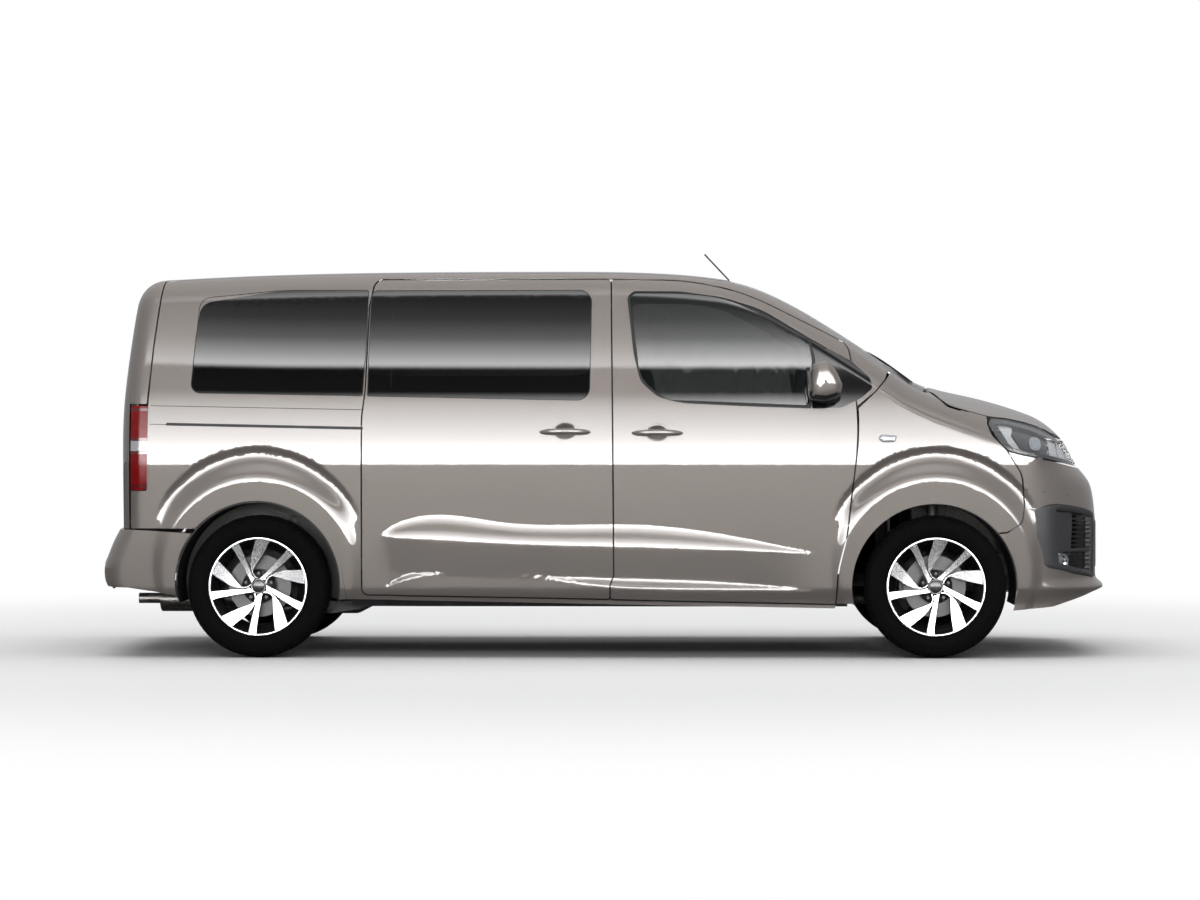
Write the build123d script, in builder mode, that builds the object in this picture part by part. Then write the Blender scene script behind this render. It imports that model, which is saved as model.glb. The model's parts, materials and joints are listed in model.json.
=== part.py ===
"""Passenger van, built in its own frame: +X forward, +Y left, +Z up, origin on the ground at the
centre of the overall box. All sizes are millimetres."""
from build123d import *
import math
import os
import time
import numpy as np

began = time.time()

os.makedirs("parts", exist_ok=True)

# ---------------------------------------------------------------- driving dimensions
wheelbase = 3275.0
front_overhang = 881.0
rear_overhang = 803.0
overall_length = front_overhang + wheelbase + rear_overhang
nose_tip_x = overall_length / 2
tail_tip_x = -overall_length / 2
front_axle_x = nose_tip_x - front_overhang
rear_axle_x = tail_tip_x + rear_overhang

body_half_width = 945.0
widest_z = 950.0
front_track = 1627.0
rear_track = 1600.0

tyre_radius = 344.0
tyre_width = 225.0
rim_radius = 238.0
tyre_bead_radius = 216.0
arch_radius = 400.0
arch_rise = 14.0

panel_gap = 7.0
door_thickness = 70.0
wall_thickness = 70.0
skin_thickness = 12.0
roof_thickness = 40.0
tailgate_thickness = 30.0
glass_thickness = 5.0
glass_inset = 3.0
seal_gap = 0.3

steer_axis_clearance = 0.3


def smooth_line(*points):
    """A function of one variable, through the given points: a natural cubic spline, straight beyond its ends."""
    xs, ys = np.array(points, float).T
    step = np.diff(xs)
    rise = np.diff(ys) / step
    count = len(xs)
    matrix, right = np.eye(count), np.zeros(count)
    for i in range(1, count - 1):
        matrix[i, i - 1 : i + 2] = step[i - 1], 2 * (step[i - 1] + step[i]), step[i]
        right[i] = 6 * (rise[i] - rise[i - 1])
    bend = np.linalg.solve(matrix, right)

    def at(x):
        inside = np.clip(x, xs[0], xs[-1])
        i = np.clip(np.searchsorted(xs, inside) - 1, 0, count - 2)
        t, h = inside - xs[i], step[i]
        slope = rise[i] - h * (2 * bend[i] + bend[i + 1]) / 6
        value = ys[i] + t * slope + t**2 * bend[i] / 2 + t**3 * (bend[i + 1] - bend[i]) / (6 * h)
        first = rise[0] - step[0] * bend[1] / 6
        last = rise[-1] + step[-1] * bend[-2] / 6
        return value + np.minimum(x - xs[0], 0) * first + np.maximum(x - xs[-1], 0) * last

    return at


def ramp(value, low, high):
    """0 below low, 1 above high, with a smooth rise between."""
    t = np.clip((value - low) / (high - low), 0, 1)
    return t * t * (3 - 2 * t)


# ---------------------------------------------------------------- outer form of the body
centre_line = smooth_line(
    (-2300, 1846), (-1900, 1868), (-1200, 1889), (-300, 1895), (200, 1889), (500, 1867), (700, 1829),
    (900, 1746), (1195, 1571), (1400, 1434), (1530, 1350), (1640, 1309), (1820, 1268), (2027, 1211),
    (2200, 1147), (2330, 1092),
)
tail_line = smooth_line(
    (560, -2385), (900, -2388), (1200, -2384), (1400, -2364), (1600, -2336), (1760, -2306), (1850, -2282)
)
bumper_tail_line = smooth_line(
    (260, -2380), (302, -2430), (350, -2468), (400, tail_tip_x), (450, -2476), (500, -2458), (550, -2438), (620, -2402)
)


nose_curve = smooth_line(
    (640, 2442), (740, 2434), (800, 2425), (845, 2410), (885, 2382), (925, 2349), (965, 2323), (1005, 2305),
    (1050, 2286), (1100, 2262),
)


def nose_line(z):
    """Front of the body on the centre plane at height z, with the chin spoiler near the ground."""
    chin = 37.5 * np.exp(-(((z - 336) / 26) ** 2))
    return np.where(z < 640, 2442, nose_curve(np.maximum(z, 640))) + chin


def flare(x, z, axle_x):
    """How far the wheel arch blister stands out of the side: a flat band round the arch, a slope and a valley."""
    band_in = np.hypot(x - axle_x, z - tyre_radius - arch_rise) - arch_radius
    band_out = 551 - np.hypot(x - axle_x, z - 475)
    share = np.where(band_out > 0, band_in / (band_in + np.maximum(band_out, 1e-6)), 1.0)
    share = np.clip(share, 0, 1)
    above = ramp(z, 640, 860)
    plateau = 16 * (1 - ramp(share, 0.36, 0.80))
    valley = -17 * above * ramp(share, 0.40, 0.84) * (1 - ramp(share, 0.86, 1.0))
    return plateau + valley


def ledges(x, z):
    """The two outward steps that run along the lower doors."""
    top = smooth_line((-1115, 590), (-980, 665), (-500, 664), (171, 652), (560, 607), (1024, 508))(x)
    foot = smooth_line((-1115, 585), (-980, 574), (171, 526), (1024, 503))(x)
    tall = np.clip(top - foot, 1, None)
    upper = 0.16 * tall * ramp(top - z, 0, tall)
    low_top = smooth_line((-1060, 345), (-980, 397), (-838, 415), (-22, 397), (560, 379), (985, 335))(x)
    low_foot = smooth_line((-1060, 340), (-980, 368), (-22, 344), (985, 325))(x)
    low_tall = np.clip(low_top - low_foot, 1, None)
    lower = 0.25 * low_tall * ramp(low_top - z, 0, low_tall)
    along = ramp(x, -1115, -1000) * (1 - ramp(x, 950, 1030))
    back_in = 0.10 * np.clip(foot - z, 0, 160)
    return along * (upper + lower - back_in * ramp(tall, 0, 60))


def half_width(x, z):
    """Half of the body's width at x and height z, before its edges are rounded."""
    above = np.maximum(z - widest_z, 0)
    below = np.maximum(widest_z - z, 0)
    width = body_half_width - 39 * (above / 350) ** 1.53 - 12 * (below / 400) ** 2
    width = width - 22 * ramp(345 - z, 0, 90)
    width = width - 60 * np.maximum((x - 1100) / 1300, 0) ** 2
    width = width - 45 * np.maximum((-1500 - x) / 950, 0) ** 2
    return width + ledges(x, z) + flare(x, z, front_axle_x) + flare(x, z, rear_axle_x)


def top_height(x, y):
    """Height of the roof, windscreen or bonnet, before its edges are rounded."""
    across = (y / 1000) ** 2
    crown = 62 * across + 60 * across * ramp(x, 1450, 1900)
    return centre_line(x + 67 * across * ramp(x, 500, 900)) - crown


def fullness(x, y, z, inset=0.0, tail=tail_line):
    """1 on the body's outer surface, less inside it and more outside. Its four faces meet in rounded edges."""
    forward = ramp(x, 1750, 2300)
    faces = (
        ((half_width(x, z) - np.abs(y) - inset), 110 + 210 * forward),
        ((top_height(x, y) - z - inset), 110 - 20 * forward),
        ((nose_line(z) - 120 * (y / 1000) ** 2 - x - inset), 300 - 190 * ramp(z, 800, 1060)),
        ((x - tail(z) - 70 * (y / 1000) ** 2 - inset), 90),
    )
    power = 2.2
    return sum(np.maximum(1 - depth / edge, 0) ** power for depth, edge in faces) ** (1 / power)


def cast(start, reach, inset=0.0, tail=tail_line):
    """The points where rays from inside the body, start, along the vectors reach leave its surface."""
    low, high = np.zeros(start[0].shape), np.ones(start[0].shape)
    for _ in range(34):
        middle = (low + high) / 2
        point = [s + middle * r for s, r in zip(start, reach)]
        outside = fullness(*point, inset=inset, tail=tail) > 1
        high, low = np.where(outside, middle, high), np.where(outside, low, middle)
    return [s + low * r for s, r in zip(start, reach)]


def spline_skin(points):
    """A smooth face through a grid of points, given as x, y and z arrays, lofted through one spline a row."""
    grid = np.stack(points, axis=-1)
    steps = np.linalg.norm(np.diff(grid, axis=1), axis=2).mean(axis=0)
    stations = np.concatenate([[0], np.cumsum(steps)]) / steps.sum()
    rows = [Edge.make_spline([Vector(*p) for p in row], parameters=stations.tolist()) for row in grid]
    return Shell.make_loft([Wire([row]) for row in rows]).faces()[0]


def flank_skin(x_from, x_to, z_from, inset=0.0, wrap=90, step_x=85, step_z=50):
    """The left side's surface between two stations, from height z_from up and over the roof's edge.

    The stations lie closer together over the wheel arches."""
    fine_from, fine_to = rear_axle_x - 1.45 * arch_radius, rear_axle_x + 1.45 * arch_radius
    xs = [x_from]
    while xs[-1] < x_to - 1:
        near = fine_from < xs[-1] < fine_to or xs[-1] > front_axle_x - 1.45 * arch_radius
        xs.append(min(x_to, xs[-1] + (0.55 * step_x if near else step_x)))
    xs = np.array(xs)
    knee_y = 620.0
    rows = []
    knees = top_height(xs, 700.0) - 190
    count = max(6, round(float(np.max(knees) - z_from) / step_z))
    for share in np.linspace(0, 1, count):
        rows.append((z_from + (knees - z_from) * share, 0.0))
    for angle in np.linspace(0, wrap, 8)[1:] if wrap else []:
        rows.append((knees, angle))
    z = np.array([row[0] for row in rows]).T
    angle = np.radians(np.array([np.full_like(xs, row[1]) for row in rows]).T)
    height = z + 250 * np.sin(angle)
    lean = 70 * ramp(height, 820, 1250) + 60 * ramp(height, 1250, 1850)
    x = xs[:, None] + lean * (1 - ramp(xs[:, None], -2300, -1700))
    start = (x, np.full_like(x, knee_y), z)
    reach = (0 * x, 1300 * np.cos(angle), 1300 * np.sin(angle))
    return spline_skin(cast(start, reach, inset))


def top_skin(x_from, x_to, half, sweep=0.0, lean=0.0, inset=0.0, step_x=110, step_y=110):
    """The top's surface between two stations, out to half each side, its stations swept back at the sides."""
    xs = np.linspace(x_from, x_to, max(6, round((x_to - x_from) / step_x)))
    columns = np.linspace(-1, 1, 2 * max(4, round(half / step_y)) + 1)
    share = (xs - x_from) / (x_to - x_from)
    y = np.repeat(half * columns[None, :], len(xs), 0)
    x = xs[:, None] - sweep * share[:, None] * (y / 1000) ** 2
    angle = np.radians(lean) * columns[None, :] ** 5 + 0 * x
    start = (x, 0.78 * y, 0 * x + 820)
    reach = (0 * x, 0.22 * y * 2 + 1300 * np.sin(angle), 1300 * np.cos(angle))
    return spline_skin(cast(start, reach, inset))


def ring_skin(facing, knee_x, knee_y, z_from, z_to, x_in=None, rise=0, inset=0.0, tail=tail_line, step_z=50):
    """The left half of the surface round the nose (facing 1) or tail (facing -1), from the side to past the centre."""
    around = []
    if x_in is not None:
        around += [(x, knee_y, 90) for x in np.linspace(x_in, knee_x, max(3, round(abs(knee_x - x_in) / 60)))[:-1]]
    around += [(knee_x, knee_y, a) for a in np.linspace(90, 0, 9)]
    around += [(knee_x, y, 0) for y in np.linspace(knee_y, -60, 7)[1:]]
    levels = [(z, 0) for z in np.linspace(z_from, z_to, max(5, round((z_to - z_from) / step_z)))]
    if rise:
        levels += [(z_to, a) for a in np.linspace(0, rise, 7)[1:]]
    x, y, turn = (np.array([[row[k] for row in around] for _ in levels], float) for k in range(3))
    z, lift = (np.array([[level[k] for _ in around] for level in levels], float) for k in range(2))
    turn, lift = np.radians(turn), np.radians(lift)
    reach = (1300 * facing * np.cos(turn) * np.cos(lift), 1300 * np.sin(turn) * np.cos(lift), 1300 * np.sin(lift))
    return spline_skin(cast((x, y, z), reach, inset, tail))


# ---------------------------------------------------------------- outlines
def rounded(points):
    """A closed outline through points given as (a, b, corner radius)."""
    count = len(points)
    with BuildLine() as line:
        ends = []
        for i, (a, b, radius) in enumerate(points):
            here = Vector(a, b)
            back = (Vector(*points[i - 1][:2]) - here).normalized()
            on = (Vector(*points[(i + 1) % count][:2]) - here).normalized()
            half = math.acos(max(-1, min(1, back.dot(on)))) / 2
            if radius == 0 or math.pi / 2 - half < 0.002:
                ends.append((here, here))
                continue
            length = radius / math.tan(half)
            first, last = here + back * length, here + on * length
            inner = (back + on).normalized()
            middle = here + inner * (radius / math.sin(half) - radius)
            ThreePointArc(first, middle, last)
            ends.append((first, last))
        for i in range(count):
            start, end = ends[i][1], ends[(i + 1) % count][0]
            if (end - start).length > 1e-4:
                Line(start, end)
    return line


def prism(outline, plane=Plane.XZ, grow=0.0, depth=-1300.0, start=0.0):
    """The outline, grown by grow, carried through the left half of the van (or along the plane's normal)."""
    with BuildPart() as block:
        with BuildSketch(plane.offset(start)):
            make_face(outline.edges())
            if grow:
                offset(amount=grow, kind=Kind.ARC)
        extrude(amount=depth)
    return block.part


front_door_line = rounded([
    (34, 1831, 10), (565, 1822, 1200), (1176, 1514, 85), (1226, 1110, 1300), (1165, 590, 600),
    (1122, 420, 500), (1113, 262, 10), (30, 286, 10), (30, 352, 20), (48, 400, 20), (44, 956, 0),
])
sliding_door_line = rounded([
    (-1169, 308, 30), (-1169, 1165, 120), (-1153, 1290, 200), (-1138, 1700, 60), (-1112, 1830, 45),
    (27, 1831, 10), (37, 956, 0), (41, 402, 20), (23, 354, 20), (23, 287, 10),
])
front_window_line = rounded([
    (118, 1765, 35), (575, 1763, 700), (986, 1530, 20), (1003, 1440, 60), (988, 1220, 18),
    (300, 1247, 120), (172, 1345, 160),
])
sliding_glass_line = rounded([
    (-1147, 1264, 10), (-1136, 1693, 30), (-1128, 1779, 30), (-62, 1781, 60), (-72, 1243, 62),
])
quarter_glass_line = rounded([
    (-2005, 1280, 45), (-1168, 1265, 10), (-1152, 1540, 0), (-1146, 1781, 12), (-1560, 1781, 900),
    (-1960, 1716, 70), (-1984, 1560, 300),
])
side_panel_line = rounded([
    (-2290, 626, 5), (-2290, 807, 5), (-2212, 807, 5), (-2208, 1221, 30), (-2184, 1508, 300), (-2141, 1860, 0),
    (-2130, 1930, 0), (700, 1930, 0), (1420, 1500, 0), (1352, 1345, 40), (1300, 1284, 40), (1190, 1195, 0),
    (1190, 1100, 0), (1060, 1100, 0), (1060, 400, 0), (1123, 400, 0), (1113, 240, 5), (-1244, 284, 5),
    (-1300, 626, 0),
])
wing_line = rounded([
    (1120, 263, 5), (1129, 420, 500), (1172, 590, 600), (1233, 1110, 1300), (1225, 1207, 10), (1304, 1280, 40),
    (1357, 1341, 40), (1430, 1440, 0), (1520, 1320, 0), (1550, 1291, 0), (1590, 1278, 25), (1655, 1213, 60), (1712, 1195, 120),
    (1846, 1159, 5), (1846, 1128, 20), (1866, 1074, 60), (1936, 1002, 0), (2008, 885, 120),
    (2021, 735, 60), (2008, 655, 45), (1939, 611, 0), (1893, 607, 0), (1893, 263, 0),
])
arch_front_centre = (front_axle_x - 7, 346.0)
arch_rear_centre = (rear_axle_x, 360.0)

inward = (0, -1, -0.4)


def keep(block, name):
    """Names a finished node and writes it out."""
    block.part.label = name
    export_step(block.part, f"parts/{name}.step")
    print(round(time.time() - began), name, round(block.part.volume / 1e6, 2), len(block.part.solids()), block.part.is_valid, flush=True)


def keep_both(left, name):
    """Writes a piece and its mirror image as one node of separate solids."""
    with BuildPart() as both:
        add(left.part)
        mirror(left.part, about=Plane.XZ)
    keep(both, name)


def keep_pair(left, name):
    """Writes a left-hand node and its mirror image."""
    with BuildPart() as right:
        mirror(left.part, about=Plane.XZ)
    keep(left, f"{name}_left")
    keep(right, f"{name}_right")


# ---------------------------------------------------------------- sides
wall_skin = flank_skin(-2297, 1440, 230)
rebate_skin = flank_skin(-2297, 1440, 230, inset=-5, wrap=60)


def wall(line, thickness, skin=wall_skin):
    """Part of the left wall inside an outline."""
    with BuildPart() as block:
        extrude(skin, amount=thickness, dir=inward)
        add(prism(line), mode=Mode.INTERSECT)
    return block.part


def rebate(line, depth):
    """The space for a pane, depth into the left wall."""
    with BuildPart() as block:
        extrude(rebate_skin, amount=depth + 5 / 0.9, dir=inward)
        add(prism(line, grow=seal_gap), mode=Mode.INTERSECT)
    return block.part


roof_edge = 655.0
screen_edge_line = rounded([
    (-2400, 1200, 0), (-2400, roof_edge + 5, 0), (575, roof_edge + 5, 20), (640, 700, 40), (1300, 756, 0),
    (1545, 778, 0), (1610, 600, 0), (2200, 300, 0), (2200, 1200, 0),
])

with BuildPart() as side_panel_left:
    add(wall(side_panel_line, wall_thickness))
    add(prism(screen_edge_line, Plane.XY, depth=2200), mode=Mode.INTERSECT)
    for line in (front_door_line, sliding_door_line):
        add(prism(line, grow=panel_gap), mode=Mode.SUBTRACT)
    with BuildSketch(Plane.XZ):
        with Locations(arch_rear_centre):
            Circle(arch_radius)
    extrude(amount=-1300, mode=Mode.SUBTRACT)
    add(rebate(quarter_glass_line, glass_thickness + seal_gap), mode=Mode.SUBTRACT)
    add(prism(quarter_glass_line, grow=-45), mode=Mode.SUBTRACT)
keep_pair(side_panel_left, "side_panel")

with BuildPart() as quarter_glass_left:
    add(wall(quarter_glass_line, glass_thickness))
keep_both(quarter_glass_left, "quarter_glass")

with BuildPart() as sliding_door_left:
    add(wall(sliding_door_line, door_thickness))
    add(prism(screen_edge_line, Plane.XY, depth=2200), mode=Mode.INTERSECT)
    add(rebate(sliding_glass_line, glass_thickness + seal_gap), mode=Mode.SUBTRACT)
    add(prism(sliding_glass_line, grow=-45), mode=Mode.SUBTRACT)
keep_both(sliding_door_left, "sliding_doors")

with BuildPart() as sliding_glass_left:
    add(wall(sliding_glass_line, glass_thickness))
keep_both(sliding_glass_left, "sliding_glass")

with BuildPart() as front_door_left:
    add(wall(front_door_line, door_thickness))
    add(prism(screen_edge_line, Plane.XY, depth=2200), mode=Mode.INTERSECT)
    add(prism(front_window_line), mode=Mode.SUBTRACT)
keep_pair(front_door_left, "front_door")

# ---------------------------------------------------------------- front wings
wing_skin = flank_skin(1090, 2060, 240, wrap=75, step_x=75, step_z=40)

with BuildPart() as wing_left:
    add(wall(wing_line, skin_thickness, wing_skin))
    with BuildSketch(Plane.XZ):
        with Locations(arch_front_centre):
            Circle(arch_radius)
    extrude(amount=-1300, mode=Mode.SUBTRACT)
    add(prism(screen_edge_line, Plane.XY, depth=2200), mode=Mode.INTERSECT)
keep_both(wing_left, "front_wings")

# ---------------------------------------------------------------- roof, windscreen, bonnet
roof_line = rounded([
    (-2141, roof_edge, 0), (-2141, -roof_edge, 0), (573, -roof_edge, 25), (655, 0, 3000), (573, roof_edge, 25),
])
screen_line = rounded([
    (645, 693, 40), (583, roof_edge - 10, 20), (662, 0, 3000), (583, -roof_edge + 10, 20), (645, -693, 40),
    (1300, -749, 0), (1545, -768, 30), (1612, 0, 2600), (1545, 768, 30), (1300, 749, 0),
])

roof_bar_x = (-1350.0, 150.0)
roof_bar_y = 600.0
roof_bar_hole = 4.0

with BuildPart() as roof_panel:
    extrude(top_skin(-2160, 680, 700), amount=roof_thickness, dir=(0, 0, -1))
    add(prism(roof_line, Plane.XY, depth=2200), mode=Mode.INTERSECT)
    with BuildSketch(Plane.XY.offset(1700)):
        with Locations(*[(x, y) for x in roof_bar_x for y in (roof_bar_y, -roof_bar_y)]):
            Circle(roof_bar_hole)
    extrude(amount=300, mode=Mode.SUBTRACT)
keep(roof_panel, "roof_panel")

screen_skin = top_skin(540, 1640, 800, inset=glass_inset)
screen_inward = Vector(-0.5, 0, -1).normalized()

with BuildPart() as windscreen:
    extrude(screen_skin, amount=glass_thickness, dir=screen_inward)
    add(prism(screen_line, Plane.XY, depth=2200), mode=Mode.INTERSECT)
keep(windscreen, "windscreen")

hood_side_line = rounded([
    (1560, 1400, 0), (1560, 1300, 0), (1602, 1284, 25), (1660, 1222, 60), (1716, 1203, 120), (1850, 1168, 0),
    (1953, 1159, 60), (2054, 1138, 200), (2153, 1105, 150), (2214, 1069, 50), (2262, 1054, 0), (2360, 1054, 0),
    (2360, 1400, 0),
])
hood_plan_line = rounded([
    (1552, 900, 40), (1640, 0, 2400), (1552, -900, 40), (2400, -900, 0), (2400, 900, 0),
])

with BuildPart() as hood:
    extrude(top_skin(1530, 2306, 905, sweep=300, lean=40, step_x=70, step_y=75), amount=24, dir=(-0.3, 0, -1))
    add(prism(hood_side_line, start=1300, depth=-2600), mode=Mode.INTERSECT)
    add(prism(hood_plan_line, Plane.XY, depth=2200), mode=Mode.INTERSECT)
keep(hood, "hood")

# ---------------------------------------------------------------- nose
nose_skin = ring_skin(1, 2020, 560, 218, 1010, x_in=1838, rise=52, step_z=30)
bumper_line = rounded([
    (1945, 996, 0), (2003, 981, 60), (2152, 951, 200), (2267, 924, 0), (2450, 888, 0), (2520, 870, 0),
    (2520, 331, 0), (2424, 331, 0), (2346, 299, 60), (2168, 246, 60), (1900, 222, 0), (1900, 600, 0),
    (1943, 604, 0), (2015, 652, 45), (2028, 735, 60), (2015, 885, 120),
])
headlamp_line = rounded([
    (1851, 1130, 15), (1868, 1160, 15), (1953, 1152, 60), (2052, 1131, 200), (2150, 1098, 150), (2211, 1062, 50),
    (2262, 1047, 0), (2420, 1047, 0), (2420, 905, 0), (2267, 931, 0), (2152, 958, 200), (2000, 988, 60),
    (1950, 1002, 20), (1914, 1032, 60),
])
intake_line = rounded([(640, 700, 30), (906, 752, 30), (902, 600, 60), (884, 438, 30), (800, 404, 60), (640, 378, 15)])
lower_grille_line = rounded([(-560, 655, 40), (560, 655, 40), (520, 430, 60), (-520, 430, 60)])
grille_line = rounded([(-496, 1046, 10), (496, 1046, 10), (496, 934, 20), (-496, 934, 20)])
lamp_inner_y = 503.0


def ring(skin, amount, direction, *cutters):
    """A shell of the left half of the nose or tail, cut to shape and joined to its mirror image."""
    with BuildPart() as half:
        extrude(skin, amount=amount, dir=direction)
        for cutter in cutters:
            add(cutter, mode=Mode.INTERSECT)
        with BuildSketch(Plane.XZ):
            Rectangle(6000, 5000)
        extrude(amount=-1300, mode=Mode.INTERSECT)
    with BuildPart() as whole:
        add(half.part)
        mirror(half.part, about=Plane.XZ)
    return whole.part


def across(outline, grow=0.0, start=1500.0, depth=1200.0):
    """An outline drawn in (y, z) and carried forward."""
    return prism(outline, Plane.YZ, grow, depth, start)


with BuildPart() as front_bumper:
    add(ring(nose_skin, 1.5 * skin_thickness, (-1, -0.8, 0), prism(bumper_line)))
    with BuildSketch(Plane.XZ.offset(1300)):
        with Locations(arch_front_centre):
            Circle(arch_radius)
    extrude(amount=-2600, mode=Mode.SUBTRACT)
    add(across(lower_grille_line), mode=Mode.SUBTRACT)
    add(across(intake_line), mode=Mode.SUBTRACT)
    add(mirror(across(intake_line), about=Plane.XZ, mode=Mode.PRIVATE), mode=Mode.SUBTRACT)
keep(front_bumper, "front_bumper")

with BuildPart() as headlamp_left:
    extrude(nose_skin, amount=90, dir=(-1, -0.8, -0.2))
    add(prism(headlamp_line), mode=Mode.INTERSECT)
    with BuildSketch(Plane.XY):
        with Locations((2000, lamp_inner_y)):
            Rectangle(1000, 1000, align=(Align.CENTER, Align.MIN))
    extrude(amount=1300, mode=Mode.INTERSECT)
keep_both(headlamp_left, "headlamps")

behind_skin = ring_skin(1, 2020, 560, 372, 1060, x_in=1960, inset=22, step_z=60)

with BuildPart() as grille:
    add(ring(behind_skin, 24, (-1, -0.5, 0), across(grille_line)))
keep(grille, "grille")

with BuildPart() as lower_grille:
    add(ring(behind_skin, 24, (-1, -0.5, 0), across(lower_grille_line, grow=-seal_gap)))
    with BuildSketch(Plane.YZ.offset(1900)):
        for z in (460, 500, 540, 580, 620):
            with Locations((0, z)):
                SlotOverall(860, 22)
    extrude(amount=800, mode=Mode.SUBTRACT)
keep(lower_grille, "lower_grille")

with BuildPart() as intake_left:
    extrude(behind_skin, amount=30, dir=(-1, -0.7, 0))
    add(across(intake_line, grow=-seal_gap), mode=Mode.INTERSECT)
    with BuildSketch(Plane.XZ):
        with Locations(arch_front_centre):
            Circle(arch_radius + seal_gap)
    extrude(amount=-1300, mode=Mode.SUBTRACT)
keep_both(intake_left, "intakes")

# ---------------------------------------------------------------- tail
tail_skin = ring_skin(-1, -2080, 640, 600, 1600, rise=76, step_z=50)
bumper_tail_skin = ring_skin(-1, -2200, 640, 282, 630, x_in=-1990, tail=bumper_tail_line, step_z=30)
tailgate_line = rounded([
    (-2302, 624, 0), (-2302, 1228, 5), (-2216, 1228, 5), (-2191, 1508, 300), (-2149, 1850, 0), (-2140, 1930, 0),
    (-2480, 1930, 0), (-2480, 624, 0),
])
rear_bumper_line = rounded([
    (-2008, 603, 10), (-2290, 619, 0), (-2520, 619, 0), (-2520, 345, 0), (-2308, 338, 60), (-2214, 324, 60),
    (-2064, 300, 5), (-1960, 300, 0), (-1960, 603, 0),
])
rear_window_line = rounded([(-690, 1752, 90), (690, 1752, 90), (742, 1262, 70), (-742, 1262, 70)])
tail_lamp_line = rounded([(-2293, 811, 5), (-2212.6, 811, 20), (-2208.7, 1218, 15), (-2293, 1218, 5)])

with BuildPart() as tailgate:
    add(ring(tail_skin, 1.5 * tailgate_thickness, (1, -1, -0.5), prism(tailgate_line)))
    add(across(rear_window_line, start=-2600, depth=600), mode=Mode.SUBTRACT)
keep(tailgate, "tailgate")

with BuildPart() as rear_window:
    window = across(rear_window_line, grow=-seal_gap, start=-2600, depth=600)
    add(ring(tail_skin, 1.15 * glass_thickness, (1, -0.5, -0.2), window))
keep(rear_window, "rear_window")

with BuildPart() as tail_lamp_left:
    extrude(tail_skin, amount=60, dir=(0.7, -1, 0))
    add(prism(tail_lamp_line), mode=Mode.INTERSECT)
keep_both(tail_lamp_left, "tail_lamps")

with BuildPart() as rear_bumper:
    add(ring(bumper_tail_skin, 1.5 * skin_thickness, (1, -0.8, 0), prism(rear_bumper_line)))
    with BuildSketch(Plane.XZ.offset(1300)):
        with Locations(arch_rear_centre):
            Circle(arch_radius)
    extrude(amount=-2600, mode=Mode.SUBTRACT)
keep(rear_bumper, "rear_bumper")

# ---------------------------------------------------------------- wheels and running gear
rim_width = 178.0
rim_wall = 4.0
hub_bore = 30.0
spindle_radius = hub_bore - 0.05
spoke_count = 5
bolt_circle = 57.0
disc_radius = 150.0
disc_thickness = 24.0
disc_offset = 4.0


def wheel_plane(x, y):
    """A sketch plane standing across a left wheel, its normal outward."""
    return Plane(origin=(x, y, tyre_radius), x_dir=(1, 0, 0), z_dir=(0, 1, 0))


def build_tyre(x, y):
    half, lip = tyre_width / 2, rim_radius + 2
    with BuildPart() as tyre:
        with BuildSketch(Plane(origin=(x, y, tyre_radius), x_dir=(0, 1, 0), z_dir=(1, 0, 0))):
            with BuildLine():
                Polyline((-95, lip), (-95, tyre_bead_radius), (-84, 236), (84, 236), (95, tyre_bead_radius), (95, lip))
                Spline((95, lip), (108, 260), (half, 286), (109, 318), (96, 335))
                Spline((96, 335), (60, 341.5), (0, tyre_radius), (-60, 341.5), (-96, 335))
                Spline((-96, 335), (-109, 318), (-half, 286), (-108, 260), (-95, lip))
            make_face()
        revolve(axis=Axis((x, y, tyre_radius), (0, 1, 0)))
    return tyre


def build_rim(x, y):
    lip = rim_radius
    with BuildPart() as rim:
        with BuildSketch(Plane(origin=(x, y, tyre_radius), x_dir=(0, 1, 0), z_dir=(1, 0, 0))):
            with BuildLine():
                Polyline(
                    (99, lip), (104, lip - 2), (104, lip - 12), (98, lip - 26), (76, lip - 30), (40, 186), (-20, 182),
                    (-70, 196), (-92, lip - 30), (-104, lip - 12), (-104, lip), (-98, lip), (-95.3, 215.7),
                    (-64, 208), (-16, 192), (38, 196), (72, 215.7), (95.3, 215.7), close=True,
                )
            make_face()
            with BuildLine():
                Polyline(
                    (22, hub_bore), (66, hub_bore), (72, 34), (72, 62), (58, 80), (24, 80), (22, 74), close=True
                )
            make_face()
        revolve(axis=Axis((x, y, tyre_radius), (0, 1, 0)))
        with BuildSketch(wheel_plane(x, y + 34)) as spokes:
            with PolarLocations(0, spoke_count, start_angle=90):
                with BuildLine():
                    Polyline((60, 34), (140, 40), (212, 64), (207, 84), (138, 66), (54, 54), close=True)
                make_face()
                with BuildLine():
                    Polyline((66, -12), (140, 2), (216, 20), (217, 2), (140, -22), (58, -40), close=True)
                make_face()
        extrude(amount=26)
        with BuildSketch(wheel_plane(x, y + 45)):
            with PolarLocations(bolt_circle, spoke_count, start_angle=54):
                Circle(9)
        extrude(amount=80, mode=Mode.SUBTRACT)
        with BuildSketch(wheel_plane(x, y + disc_offset - disc_thickness)):
            Circle(disc_radius)
            Circle(hub_bore + 45, mode=Mode.SUBTRACT)
        extrude(amount=disc_thickness)
        with BuildSketch(wheel_plane(x, y + disc_offset - 8)):
            Circle(hub_bore + 50)
            Circle(hub_bore, mode=Mode.SUBTRACT)
        extrude(amount=26)
    return rim


front_wheel_y = front_track / 2
rear_wheel_y = rear_track / 2
for place, x, y in (("front", front_axle_x, front_wheel_y), ("rear", rear_axle_x, rear_wheel_y)):
    tyre = build_tyre(x, y)
    rim = build_rim(x, y)
    keep_pair(tyre, f"tyre_{place}")
    keep_pair(rim, f"rim_{place}")

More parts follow.
